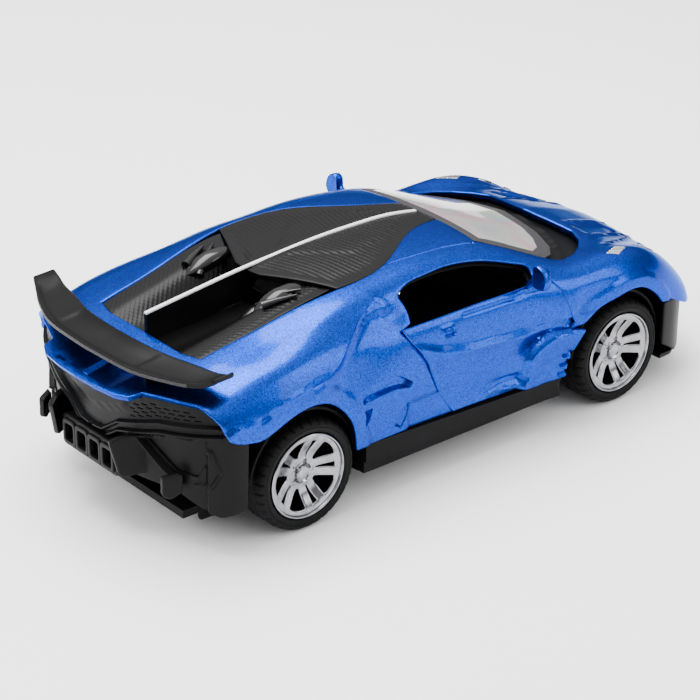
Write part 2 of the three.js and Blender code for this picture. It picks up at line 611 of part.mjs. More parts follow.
const wing = rearWing().subtract(wholeBody.intersect(plan).translate(0, 0, GAP));
addPiece('rear_wing', wing, BLACK);

// Front lower moulding with its lip.
function frontBumper() {
  const zone = acrossCar([
    [54.6, 7.5], [55.4, 14], [54.6, 20.2], [57.8, 19.5], [66, 15.3], [76, 13.1], [80, 6], [60, 6],
  ]);
  const lipPlan = grown(wholePlan(BODY_PLAN.filter(([x]) => x > 0)), -0.8);
  const lip = prismZ(lipPlan, BODY_FLOOR, BODY_FLOOR + 1.5).intersect(block([63.4, -40, 0], [80, 40, 20]));
  return skin.intersect(zone).add(lip.intersect(wholeBody));
}
addPiece('front_bumper', frontBumper(), BLACK);

// ---------- chassis ----------
const CHASSIS_HALF = [
  [-65, 0], [-65, 20], [-58.6, 20], [-57, 18.6], [-28.6, 18.6], [-27.4, 21], [-27.4, 26.6], [24.4, 26.6],
  [25.4, 21], [26.6, 18.6], [57, 18.6], [60.5, 22], [63, 18], [63, 0],
];
const SILL_SIDE = [[-27.6, 9.2], [-2, 8.4], [25.2, 6.8], [25.2, 10.9], [-27.6, 13.2]];
const SILL_FOOT = [[-27.4, 6.4], [24.4, 6.4], [24.4, 9], [-27.4, 10]];
const MOTOR_X = [-49.2, -17];
const MOTOR_HALF_Y = 9;
const SADDLE_Y = [14.6, 17.4];
const HEAD_R = 1.8;

function chassis() {
  let base = prismZ(wholePlan(CHASSIS_HALF), CHASSIS_BOTTOM, CHASSIS_TOP);
  const sill = prismY(SILL_SIDE, -29.5, -26.2).add(prismY(SILL_FOOT, -28.6, -26.2));
  base = base.add(bothSides(sill));
  [REAR_X, FRONT_X].forEach((x) => {
    const saddle = block([x - 3, -SADDLE_Y[1], CHASSIS_TOP - 0.5], [x + 3, -SADDLE_Y[0], AXLE_Z + 3]);
    base = base.add(bothSides(saddle));
  });
  const wellHalf = MOTOR_HALF_Y + GAP;
  base = base.subtract(block([MOTOR_X[0] - GAP, -wellHalf, 0], [MOTOR_X[1] + GAP, wellHalf, 10]));
  [REAR_X, FRONT_X].forEach((x) => {
    base = base.subtract(rodY(x, AXLE_Z, AXLE_R + GAP, -30, 30, 24));
  });
  SCREW_SPOTS.forEach(([x, y]) => {
    base = base.subtract(bothSides(rodZ(x, -y, SCREW_BORE_R, 0, 12)));
    base = base.subtract(bothSides(rodZ(x, -y, HEAD_R + 0.4, 0, CHASSIS_BOTTOM + 0.9)));
  });
  return base;
}
addPiece('chassis_base', chassis(), BLACK);

function screw() {
  const head = rodZ(0, 0, HEAD_R, 0, 1.1, 12);
  const cross = block([-1.1, -0.2, -0.1], [1.1, 0.2, 0.5]).add(block([-0.2, -1.1, -0.1], [0.2, 1.1, 0.5]));
  return head.add(rodZ(0, 0, SCREW_R, 1, 7.6, 8)).subtract(cross);
}
const SCREW_NAMES = [
  ['rear_right', -1, 0], ['rear_left', 1, 0], ['front_right', -1, 1], ['front_left', 1, 1],
];
SCREW_NAMES.forEach(([where, side, spot]) => {
  const [x, y] = SCREW_SPOTS[spot];
  addPiece(`chassis_screw_${where}`, screw(), STEEL, [x, side * y, CHASSIS_BOTTOM - 0.5]);
});

// ---------- wheels ----------
const TYRE_SIDES = 28;
function tyre() {
  const low = TYRE_INNER_Y;
  const high = WHEEL_OUTER_Y;
  const profile = [
    [RIM_R + GAP, low],
    [TYRE_R - 0.7, low],
    [TYRE_R, low + 1.1],
    [TYRE_R, high - 1.1],
    [TYRE_R - 0.7, high],
    [RIM_R + GAP, high - 0.2],
    [RIM_R + GAP, low],
  ];
  return new THREE.LatheGeometry(profile.map(([r, y]) => new THREE.Vector2(r, y)), TYRE_SIDES);
}

const SPOKE_PAIRS = 5;
const SPOKE_APART = 0.95;
const SPOKE_HALF = 0.62;
function rim() {
  const low = TYRE_INNER_Y;
  const high = WHEEL_OUTER_Y;
  const barrel = new THREE.LatheGeometry([
    [7.9, low + 0.2],
    [RIM_R, low + 0.2],
    [RIM_R, high - 0.1],
    [8.3, high - 0.1],
    [8, high - 1.8],
    [7.9, low + 0.2],
  ].map(([r, y]) => new THREE.Vector2(r, y)), 24);
  let wheel = solidOf(facingOut(mergeVertices(stripped(barrel))));
  wheel = wheel.add(rodY(0, 0, 2.7, high - 4.4, high - 0.7, 12));
  for (let i = 0; i < SPOKE_PAIRS; i += 1) {
    [-SPOKE_APART, SPOKE_APART].forEach((shift) => {
      const spoke = block([1, shift - SPOKE_HALF, 0], [8.3, shift + SPOKE_HALF, 1.7]);
      const laid = spoke.rotate([-90, 0, 0]).translate(0, high - 2.9, 0);
      wheel = wheel.add(laid.rotate([0, i * 360 / SPOKE_PAIRS, 0]));
    });
  }
  return wheel.subtract(rodY(0, 0, AXLE_R + GAP, 0, high - 1.4, 12));
}

function stripped(geometry) {
  geometry.deleteAttribute('normal');
  geometry.deleteAttribute('uv');
  return geometry;
}

const rimShape = geometryOf(rim());
const tyreShape = geometryOf(solidOf(facingOut(mergeVertices(stripped(tyre())))));
[['front', FRONT_X], ['rear', REAR_X]].forEach(([axle, x]) => {
  [['right', Math.PI], ['left', 0]].forEach(([side, turn]) => {
    addPiece(`rim_${axle}_${side}`, rimShape, SILVER, [x, 0, AXLE_Z], [0, 0, turn]);
    addPiece(`tyre_${axle}_${side}`, tyreShape, RUBBER, [x, 0, AXLE_Z], [0, 0, turn]);
  });
  const reach = WHEEL_OUTER_Y - 1.7;
  addPiece(`${axle}_axle`, rodY(x, AXLE_Z, AXLE_R, -reach, reach, 20), STEEL);
});

// ---------- pull-back motor ----------
const MODULE = 0.5;
const PINION_TEETH = 12;
const IDLER_TEETH = 24;
const IDLER_SMALL_TEETH = 10;
const DRUM_TEETH = 26;
const MESH_DISTANCE = MODULE * (PINION_TEETH + IDLER_TEETH) / 2;
const DRUM_DISTANCE = MODULE * (IDLER_SMALL_TEETH + DRUM_TEETH) / 2;
const IDLER_ANGLE = 25 * Math.PI / 180;
const DRUM_ANGLE = -15 * Math.PI / 180;
const IDLER_X = REAR_X + MESH_DISTANCE * Math.cos(IDLER_ANGLE);
const IDLER_Z = AXLE_Z + MESH_DISTANCE * Math.sin(IDLER_ANGLE);
const DRUM_X = IDLER_X + DRUM_DISTANCE * Math.cos(DRUM_ANGLE);
const DRUM_Z = IDLER_Z + DRUM_DISTANCE * Math.sin(DRUM_ANGLE);
const SHAFT_R = 0.8;
const BACKLASH = 0.22;

// Involute gear outline about the origin; the first tooth's middle points along the angle.
function gearOutline(teeth, angle) {
  const pitch = MODULE * teeth / 2;
  const baseR = pitch * Math.cos(20 * Math.PI / 180);
  const tip = pitch + 0.85 * MODULE;
  const root = pitch - 1.2 * MODULE;
  const inv = (r) => {
    const ratio = Math.max(r / baseR, 1);
    const a = Math.acos(1 / ratio);
    return Math.tan(a) - a;
  };
  const halfAtPitch = Math.PI / (2 * teeth) - BACKLASH / (2 * pitch);
  const halfAt = (r) => halfAtPitch + inv(pitch) - inv(r);
  const radii = [root, pitch, tip];
  const points = [];
  for (let i = 0; i < teeth; i += 1) {
    const middle = angle + i * 2 * Math.PI / teeth;
    radii.forEach((r) => points.push([r, middle - halfAt(r)]));
    [...radii].reverse().forEach((r) => points.push([r, middle + halfAt(r)]));
  }
  return points.map(([r, a]) => [r * Math.cos(a), r * Math.sin(a)]);
}

function gearSolid(teeth, angle, x, z, low, high) {
  return prismY(gearOutline(teeth, angle), low, high).translate(x, 0, z);
}

// Tooth angles that put a tooth of one wheel in a gap of the next.
const PINION_ANGLE = IDLER_ANGLE;
const IDLER_START = IDLER_ANGLE + Math.PI + Math.PI / IDLER_TEETH;
const IDLER_SMALL_START = DRUM_ANGLE;
const DRUM_START = DRUM_ANGLE + Math.PI + Math.PI / DRUM_TEETH;

addPiece('axle_pinion', gearSolid(PINION_TEETH, PINION_ANGLE, REAR_X, AXLE_Z, -6.4, -3.4)
  .subtract(rodY(REAR_X, AXLE_Z, AXLE_R + 0.25, -20, 20, 20)), NYLON);
addPiece('idler_gear', gearSolid(IDLER_TEETH, IDLER_START, IDLER_X, IDLER_Z, -6.2, -4.2)
  .add(gearSolid(IDLER_SMALL_TEETH, IDLER_SMALL_START, IDLER_X, IDLER_Z, -4.3, -1.2))
  .subtract(rodY(IDLER_X, IDLER_Z, SHAFT_R + GAP, -20, 20, 16)), NYLON);
const DRUM_R = 6.1;
const drum = gearSolid(DRUM_TEETH, DRUM_START, DRUM_X, DRUM_Z, -3.4, -1.4)
  .add(rodY(DRUM_X, DRUM_Z, DRUM_R, -1.5, 6.6, 24))
  .subtract(rodY(DRUM_X, DRUM_Z, DRUM_R - 0.8, -0.4, 8, 24))
  .subtract(rodY(DRUM_X, DRUM_Z, SHAFT_R + GAP, -20, 20, 16));
addPiece('spring_drum', drum, NYLON);

// Flat steel spring wound inside the drum.
function mainspring() {
  const turns = 3.25;
  const steps = 44;
  const innerR = 1.6;
  const outerR = DRUM_R - 1.4;
  const strip = 0.25;
  const spiral = (shift) => [...Array(steps + 1).keys()].map((i) => {
    const angle = i / steps * turns * 2 * Math.PI;
    const r = innerR + (outerR - innerR) * i / steps + shift;
    return [r * Math.cos(angle), r * Math.sin(angle)];
  });
  const ribbon = spiral(strip / 2).concat(spiral(-strip / 2).reverse());
  return prismY(ribbon, 0, 6).translate(DRUM_X, 0, DRUM_Z);
}
addPiece('mainspring', mainspring(), STEEL);

[['idler_shaft', IDLER_X, IDLER_Z], ['drum_shaft', DRUM_X, DRUM_Z]].forEach(([name, x, z]) => {
  addPiece(name, rodY(x, z, SHAFT_R, -8.2, 8.2, 14), STEEL);
});

// Two halves of the motor case, split on the centre plane.
const CASE = [
  [-49, 6.2], [-47.2, 4.6], [-19.2, 4.6], [-17.2, 6.4], [-17.2, 19.4],
  [-19, 21.6], [-27, 22.4], [-38, 24.2],
  [-43, 23.4], [-49, 17.4],
];
const CASE_WALL = 1.1;
function caseRight() {
  let half = prismY(CASE, -MOTOR_HALF_Y, -GAP / 2).subtract(prismY(grown(CASE, -CASE_WALL), -7.4, 0));
  half = half.subtract(rodY(REAR_X, AXLE_Z, AXLE_R + GAP, -20, 0, 20));
  half = half.subtract(rodY(IDLER_X, IDLER_Z, SHAFT_R + GAP, -8.5, 0, 14));
  return half.subtract(rodY(DRUM_X, DRUM_Z, SHAFT_R + GAP, -8.5, 0, 14));
}
const motorHalf = caseRight();
addPiece('motor_case_right', motorHalf, BLACK);
addPiece('motor_case_left', mirrored(motorHalf), BLACK);

// ---------- cabin ----------
const SEAT_SIDE = [[-13.8, 10], [8, 10], [9, 17.6], [-4, 16.2], [-9.6, 33.6], [-13.8, 34.4]];
const HEADREST_SIDE = [[-13.6, 33], [-9.4, 33], [-10.2, 38.2], [-13.2, 38.2]];
function interiorTub() {
  let tub = block([-15.5, -25, 9], [27, 25, 10.6]);
  tub = tub.add(block([-15.5, -25, 9], [-13.7, 25, 25]));
  tub = tub.add(bothSides(block([-15.5, -25, 9], [24, -23.6, 20])));
  tub = tub.add(block([-14, -3, 10], [20, 3, 19]));
  const seat = prismY(SEAT_SIDE, -19, -6.5).add(prismY(HEADREST_SIDE, -15.6, -9.9));
  return tub.add(bothSides(seat));
}
addPiece('interior_tub', interiorTub(), BLACK);

const WHEEL_TILT = 70;
const DASH_SIDE = [
  [17.8, 24.5], [20, 31], [25.4, 32.2], [27.4, 29.6], [31, 28.6], [31, 27], [26, 24.2], [22, 22.8],
];
function dashboard() {
  const column = rodZ(0, 0, 0.9, -7.5, 0.5, 12).rotate([0, -WHEEL_TILT, 0]).translate(14.4, 10.5, 29.4);
  const nearWheel = block([5, 0, 20], [14.4, 20, 40]);
  return prismY(DASH_SIDE, -20.4, 20.4).add(column.subtract(nearWheel));
}
addPiece('dashboard', dashboard(), BLACK);

function steeringWheel() {
  const ring = new THREE.TorusGeometry(4.2, 0.5, 6, 20);
  let wheel = solidOf(ring);
  wheel = wheel.add(rodZ(0, 0, 1.3, -0.5, 0.5, 14)).add(block([-4.1, -0.5, -0.35], [4.1, 0.5, 0.35]));
  return wheel.add(block([-0.5, -4.1, -0.35], [0.5, 0, 0.35]));
}
addPiece('steering_wheel', steeringWheel(), BLACK, [12.6, 10.5, 28.8], [0, -WHEEL_TILT * Math.PI / 180, 0]);

// ---------- mirrors ----------
// The right mirror from behind: the head, and the stalk that stands on the door's top edge.
const MIRROR_X = 14.4;
const MIRROR_HEAD = [[-30.4, 35.2], [-34.2, 35.3], [-35, 37], [-34, 39.7], [-32, 40.5], [-30.8, 39.8]];
const MIRROR_STALK = [[-28.5, 34.6], [-30.6, 34.6], [-31.6, 36.8], [-30.6, 37.4]];

// A prism along X from the given x: points are [y, z].
function prismX(points, low, high) {
  const geometry = new THREE.ExtrudeGeometry(outline(points), { depth: high - low, bevelEnabled: false });
  geometry.rotateX(Math.PI / 2);
  geometry.rotateZ(Math.PI / 2);
  geometry.translate(low, 0, 0);
  return solidOf(facingOut(mergeVertices(stripped(geometry))));
}
const mirror = prismX(MIRROR_HEAD, MIRROR_X, MIRROR_X + 2.4)
  .add(prismX(MIRROR_STALK, MIRROR_X + 0.4, MIRROR_X + 2));
addPiece('mirror_right', mirror, PAINT);
addPiece('mirror_left', mirrored(mirror), PAINT);

export default car;
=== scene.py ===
"""Looks of a 1:32 pull-back toy car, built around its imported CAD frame.

Every piece is worked out in millimetres in the car's own frame (origin on the ground, +X to the
nose, +Y left, +Z up) and becomes metres when its mesh is made. Body panels are cut from one smooth
surface, whose domain is (x, w): w runs up the side and over the top from the right sill.
"""

import json
import math

import bpy
import numpy as np
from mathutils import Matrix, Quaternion, Vector
from mathutils.geometry import delaunay_2d_cdt


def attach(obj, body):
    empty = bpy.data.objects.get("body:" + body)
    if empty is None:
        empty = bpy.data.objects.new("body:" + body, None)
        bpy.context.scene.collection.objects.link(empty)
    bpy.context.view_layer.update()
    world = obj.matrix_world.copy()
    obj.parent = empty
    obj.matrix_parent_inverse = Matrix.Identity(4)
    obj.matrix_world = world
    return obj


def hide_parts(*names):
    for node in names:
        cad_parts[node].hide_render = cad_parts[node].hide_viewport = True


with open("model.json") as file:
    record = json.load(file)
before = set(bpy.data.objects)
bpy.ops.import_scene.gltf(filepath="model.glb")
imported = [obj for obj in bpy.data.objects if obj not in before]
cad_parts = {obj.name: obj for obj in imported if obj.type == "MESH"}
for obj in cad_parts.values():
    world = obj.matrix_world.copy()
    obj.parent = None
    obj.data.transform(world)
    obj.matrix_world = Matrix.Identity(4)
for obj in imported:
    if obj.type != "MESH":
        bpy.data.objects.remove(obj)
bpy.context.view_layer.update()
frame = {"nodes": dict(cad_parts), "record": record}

MM = 0.001
REAR_X = -42.35
FRONT_X = 42.35
AXLE_Z = 11.6
TYRE_R = 11.6
RIM_R = 8.9
RIM_FACE_R = 8.35
WHEEL_OUTER_Y = 30.0
WHEEL_INNER_Y = 21.6
DOOR_GAP = 0.5
DOOR_PIVOT = [31.5, -27, 26.5]
CAR = ("car_body", "car_body")
DOORS = ("right_door", "left_door")
TYRE_SIDES = 272
TREAD_NOTCHES = 34
SPOKE_PAIRS = 5
SPOKE_STEP = 72
LINER_R = 12.6
LINER_WALL = 0.5
LINER_OUTER_Y = -28.2
LINER_INNER_Y = -20.3
FLOOR_HALF_M = 3.0
PANEL_GRID = 0.75
PANEL_WALL = 1.1
EDGE_ROUND = 0.28
OUTLINE_STEP = 0.5
SHARP_DEGREES = 38


# ---------- curves ----------
class Spline:
    """Natural cubic spline through rows of values at rising keys."""

    def __init__(self, keys, values):
        self.keys = np.asarray(keys, float)
        self.values = np.asarray(values, float)
        self.bend = bend_matrix(self.keys) @ self.values

    def __call__(self, at):
        at = np.asarray(at, float)
        i = np.clip(np.searchsorted(self.keys, at) - 1, 0, len(self.keys) - 2)
        step = self.keys[i + 1] - self.keys[i]
        a = (self.keys[i + 1] - at) / step
        b = (at - self.keys[i]) / step
        cubic_a = (a**3 - a) * step**2 / 6
        cubic_b = (b**3 - b) * step**2 / 6
        if self.values.ndim > 1:
            a, b, cubic_a, cubic_b = (q[..., None] for q in (a, b, cubic_a, cubic_b))
        line = a * self.values[i] + b * self.values[i + 1]
        return line + cubic_a * self.bend[i] + cubic_b * self.bend[i + 1]


def bend_matrix(keys):
    """Matrix that turns a spline's values into its second derivatives at the keys."""
    count = len(keys)
    step = np.diff(keys)
    left = np.eye(count)
    right = np.zeros((count, count))
    for i in range(1, count - 1):
        left[i, i - 1:i + 2] = step[i - 1], 2 * (step[i - 1] + step[i]), step[i]
        right[i, i - 1:i + 2] = 6 / step[i - 1], -6 / step[i - 1] - 6 / step[i], 6 / step[i]
    return np.linalg.solve(left, right)


def dense(points, step, closed=False):
    """Points along straight legs, no further apart than the step."""
    points = [np.asarray(p, float) for p in points]
    if closed:
        points = points + [points[0]]
    out = [points[0]]
    for a, b in zip(points, points[1:]):
        count = max(1, int(math.ceil(np.linalg.norm(b - a) / step)))
        out += [a + (b - a) * i / count for i in range(1, count + 1)]
    return np.array(out[:-1] if closed else out)


def curved(points, step):
    """Points along a smooth curve through the given points."""
    points = np.asarray(points, float)
    reach = np.r_[0, np.cumsum(np.linalg.norm(np.diff(points, axis=0), axis=1))]
    return Spline(reach, points)(np.linspace(0, reach[-1], max(3, int(reach[-1] / step))))


def rounded(points, radius, step=0.4):
    """A closed outline with its corners rounded off."""
    points = [np.asarray(p, float) for p in points]
    points = [p for i, p in enumerate(points) if np.linalg.norm(p - points[i - 1]) > 1e-6]
    out = []
    for i, here in enumerate(points):
        before = points[i - 1] - here
        after = points[(i + 1) % len(points)] - here
        cut = min(radius, 0.45 * np.linalg.norm(before), 0.45 * np.linalg.norm(after))
        start = here + before / np.linalg.norm(before) * cut
        end = here + after / np.linalg.norm(after) * cut
        for t in np.linspace(0, 1, 5):
            out.append((1 - t)**2 * start + 2 * t * (1 - t) * here + t**2 * end)
    return dense(out, step, closed=True)


def scaled(ring, size):
    """A ring made larger or smaller about its middle."""
    middle = ring.mean(0)
    return (ring - middle) * size + middle


def oblong(left, right, low, high):
    return [[left, low], [right, low], [right, high], [left, high]]


def ramp(value, low, high):
    """0 below low, 1 above high, smooth between."""
    t = np.clip((value - low) / (high - low), 0, 1)
    return t * t * (3 - 2 * t)


def inside(points, loop):
    """Which of the points lie inside the closed loop."""
    x, y = points[:, 0], points[:, 1]
    hit = np.zeros(len(points), bool)
    for (x0, y0), (x1, y1) in zip(loop, np.roll(loop, -1, axis=0)):
        if y0 == y1:
            continue
        crosses = (y0 > y) != (y1 > y)
        hit ^= crosses & (x < (x1 - x0) * (y - y0) / (y1 - y0) + x0)
    return hit


def distance_to(points, path):
    """Distance from each point to a path of straight legs."""
    points = np.asarray(points, float)
    path = np.asarray(path, float)
    best = np.full(len(points), 1e9)
    for a, b in zip(path, path[1:]):
        leg = b - a
        along = np.clip(((points - a) @ leg) / max(leg @ leg, 1e-9), 0, 1)
        best = np.minimum(best, np.linalg.norm(points - a - along[:, None] * leg, axis=1))
    return best


def signed_depth(points, loop):
    """Distance inside a closed loop, negative outside it."""
    far = distance_to(points, np.vstack([loop, loop[:1]]))
    return np.where(inside(points, np.asarray(loop, float)), far, -far)


# ---------- body surface ----------
# Half sections from the sill to the centre line, each point [half width, height].
SECTIONS = {
    -76: [[23, 18], [24, 22], [25, 26], [25.3, 28.5], [24, 30.3], [20, 31.3], [14, 31.8], [7, 32.2],
          [0, 32.3]],
    -70: [[27, 14], [28, 20], [28.6, 25], [28.4, 28.6], [27, 30.9], [23.5, 32.1], [16, 32.7], [8, 33],
          [0, 33.1]],
    -62: [[30.4, 12], [31, 19], [31.2, 25], [30.7, 29.4], [29, 32.2], [25.5, 33.8], [18, 34.9], [8, 35.1],
          [0, 35.2]],
    -54: [[31.1, 12], [31.4, 18], [31.6, 24], [31.3, 29.4], [29.8, 33.3], [26.6, 35.6], [18.5, 36.9],
          [9, 37.2], [0, 37.4]],
    -46: [[31.1, 12], [31.5, 18], [31.7, 24], [31.4, 29.7], [30, 34.2], [27, 36.8], [18.5, 38.5], [9, 39.2],
          [0, 39.5]],
    -38: [[30.8, 12], [31.2, 18], [31.4, 24], [30.9, 30], [29.1, 35.4], [25.6, 38.5], [19.4, 40.4],
          [9.5, 41.2], [0, 41.6]],
    -28: [[30.1, 12], [30.4, 18], [30.5, 24], [29.9, 30], [28.2, 35.2], [24.9, 39.4], [21.2, 42],
          [11, 43.3], [0, 43.5]],
    -18: [[29.5, 12], [29.6, 18], [29.6, 24], [29.4, 29.5], [28.2, 34.4], [25.1, 38.8], [21.6, 42.5],
          [11.5, 44], [0, 44.1]],
    -8: [[29.3, 12], [29.2, 18], [29.1, 24], [29.4, 29.4], [28.4, 34.2], [25, 38.8], [21.6, 42.9],
         [11.5, 44.2], [0, 44.3]],
    2: [[29.2, 12], [29.1, 18], [29.1, 24], [29.5, 29.2], [28.5, 34], [25.3, 38.3], [21.5, 42.4],
        [11, 43.8], [0, 44]],
    12: [[29.3, 12], [29.3, 18], [29.4, 24], [29.9, 29], [28.9, 33.8], [25.8, 37.3], [21.2, 41], [11, 42.5],
         [0, 42.8]],
    20: [[29.6, 12], [29.8, 18], [30.1, 24], [30.3, 28.8], [29, 33.3], [26.4, 35.9], [22, 38.3],
         [11.5, 40.2], [0, 40.9]],
    28: [[30, 12], [30.5, 17.5], [30.9, 23.3], [31, 28.5], [29.6, 32.6], [27, 34.4], [22.5, 35.3],
         [12, 37.4], [0, 38.3]],
    36: [[30.4, 12], [30.9, 18], [31.4, 24], [31.3, 28.8], [29.8, 32.6], [26.5, 34.4], [20, 34], [10, 35.3],
         [0, 36.3]],
    44: [[30.4, 12], [31, 18], [31.4, 24], [31.2, 28.5], [29.6, 32.2], [26.2, 34.1], [19.5, 33.3],
         [9.5, 34.2], [0, 34.9]],
    52: [[30.1, 12], [30.6, 17], [30.8, 22], [30.2, 26.6], [28.2, 30.2], [24.8, 31.9], [18.5, 31.1],
         [9.5, 31.8], [0, 32.6]],
    60: [[28.8, 12], [29.2, 15.5], [29.1, 19], [28.2, 22.6], [26, 25.8], [22.5, 27.4], [17, 27.6],
         [9, 28.7], [0, 29.4]],
    67: [[26, 11.5], [26.2, 14], [25.8, 16.6], [24.6, 18.9], [22.4, 20.9], [19.6, 21.9], [15, 22.8],
         [8.5, 24], [0, 24.6]],
    72: [[22, 11], [22, 12.6], [21.5, 14.2], [20.4, 15.8], [18.6, 17.1], [16, 18], [12.5, 18.8], [7, 19.8],
         [0, 20.2]],
    76: [[18, 10], [18, 11], [17.5, 12], [16.5, 13], [14.8, 14], [12.8, 14.6], [10, 15.1], [5.5, 15.6],
         [0, 15.9]],
}
RAILS = Spline(list(SECTIONS), np.array(list(SECTIONS.values())).reshape(len(SECTIONS), -1))
RAIL_COUNT = 9
RAIL_W = np.array([0, 6, 12, 17.5, 22.7, 28, 33.5, 43.5, 54.5])
CENTRE_W = RAIL_W[-1]
ACROSS_BEND = bend_matrix(np.arange(RAIL_COUNT, dtype=float))


def section_points(x, v):
    """Half width and height at rail place v of the section at x."""
    rails = RAILS(x).reshape(-1, RAIL_COUNT, 2)
    bends = np.einsum("ij,njk->nik", ACROSS_BEND, rails)
    i = np.clip(np.floor(v).astype(int), 0, RAIL_COUNT - 2)
    rows = np.arange(len(x))
    b = v - i
    a = 1 - b
    line = a[:, None] * rails[rows, i] + b[:, None] * rails[rows, i + 1]
    cubic = (a**3 - a)[:, None] * bends[rows, i] + (b**3 - b)[:, None] * bends[rows, i + 1]
    return line + cubic / 6


def body_place(domain):
    """Points of the body surface at (x, w); w past the centre line is the left side."""
    x, w = domain[:, 0], domain[:, 1]
    side = np.where(w > CENTRE_W, 1.0, -1.0)
    half = section_points(x, np.interp(np.minimum(w, 2 * CENTRE_W - w), RAIL_W, np.arange(RAIL_COUNT)))
    return np.stack([x, side * half[:, 0], half[:, 1]], 1)


def crossing(x, target, column, from_centre):
    """w at which the section at x first reaches a half width or a height."""
    v = np.linspace(0, RAIL_COUNT - 1, 321)
    if from_centre:
        v = v[::-1]
    values = section_points(np.full(len(v), float(x)), v)[:, column]
    past = np.nonzero((values[:-1] <= target) & (values[1:] >= target))[0]
    if not len(past):
        near = int(np.argmin(np.abs(values - target)))
        return float(np.interp(v[near], np.arange(RAIL_COUNT), RAIL_W))
    i = past[0]
    share = (target - values[i]) / max(values[i + 1] - values[i], 1e-9)
    return float(np.interp(v[i] + share * (v[i + 1] - v[i]), np.arange(RAIL_COUNT), RAIL_W))


def by_height(points):
    """Side outline [x, z] as surface domain points."""
    return np.array([[x, crossing(x, z, 1, False)] for x, z in dense(points, OUTLINE_STEP)])


def by_width(points):
    """Top outline [x, half width] as surface domain points."""
    return np.array([[x, crossing(x, s, 0, True)] for x, s in dense(points, OUTLINE_STEP)])


def both_sides(half):
    """A half outline that starts and ends on the centre line, made whole."""
    other = half[::-1].copy()
    other[:, 1] = 2 * CENTRE_W - other[:, 1]
    return np.vstack([half, other[1:-1]])


def far_side(loop):
    other = loop.copy()
    other[:, 1] = 2 * CENTRE_W - other[:, 1]
    return other


def top_loop(half):
    """A top outline that starts and ends on the centre line, as a whole loop of domain points."""
    edge = by_width(half)
    edge[0, 1] = edge[-1, 1] = CENTRE_W
    return both_sides(edge)


def whole_plan(half):
    """A plan outline [x, half width] that starts and ends on the centre line, made whole as [x, y]."""
    return half + [[x, -s] for x, s in half[::-1][1:-1]]


def top_view(place):
    """x and half width of each point, then both as points."""
    x, side = place[:, 0], np.abs(place[:, 1])
    return x, side, np.stack([x, side], 1)


# ---------- panels ----------
def lattice(loop, grid):
    low, high = loop.min(0), loop.max(0)
    across = np.arange(low[0] + grid / 2, high[0], grid)
    up = np.arange(low[1] + grid / 2, high[1], grid)
    return np.stack(np.meshgrid(across, up), -1).reshape(-1, 2)


def triangulate(loop, holes, points, creases):
    """Triangles of the area inside the loop and outside the holes."""
    verts = []
    edges = []
    for ring in [loop, *holes]:
        start = len(verts)
        verts += [tuple(p) for p in ring]
        edges += [(start + i, start + (i + 1) % len(ring)) for i in range(len(ring))]
    for path in creases:
        start = len(verts)
        verts += [tuple(p) for p in path]
        edges += [(start + i, start + i + 1) for i in range(len(path) - 1)]
    verts += [tuple(p) for p in points]
    made = delaunay_2d_cdt([Vector(v) for v in verts], edges, [], 0, 1e-5, False)
    flat = np.array([tuple(v) for v in made[0]])
    faces = np.array(made[2])
    middles = flat[faces].mean(1)
    keep = inside(middles, loop)
    for hole in holes:
        keep &= ~inside(middles, hole)
    faces = faces[keep]
    corners = flat[faces]
    turn = np.cross(corners[:, 1] - corners[:, 0], corners[:, 2] - corners[:, 0])
    faces[turn < 0] = faces[turn < 0][:, ::-1]
    used, faces = np.unique(faces[np.abs(turn) > 1e-9], return_inverse=True)
    return flat[used], faces.reshape(-1, 3)


def border_loops(faces):
    """The open edges of a set of triangles, chained in the faces' own direction."""
    edges = {}
    for face in faces:
        for a, b in zip(face, np.roll(face, -1)):
            edges[(int(a), int(b))] = True
    following = {a: b for a, b in edges if (b, a) not in edges}
    loops = []
    while following:
        start = next(iter(following))
        loop = [start]
        while True:
            nxt = following.pop(loop[-1])
            if nxt == start or nxt not in following:
                break
            loop.append(nxt)
        loops.append(loop)
    return loops


def normals_of(place, domain):
    step = 0.02
    along = place(domain + [step, 0]) - place(domain - [step, 0])
    up = place(domain + [0, step]) - place(domain - [0, step])
    normal = np.cross(along, up)
    return normal / np.maximum(np.linalg.norm(normal, axis=1), 1e-9)[:, None]


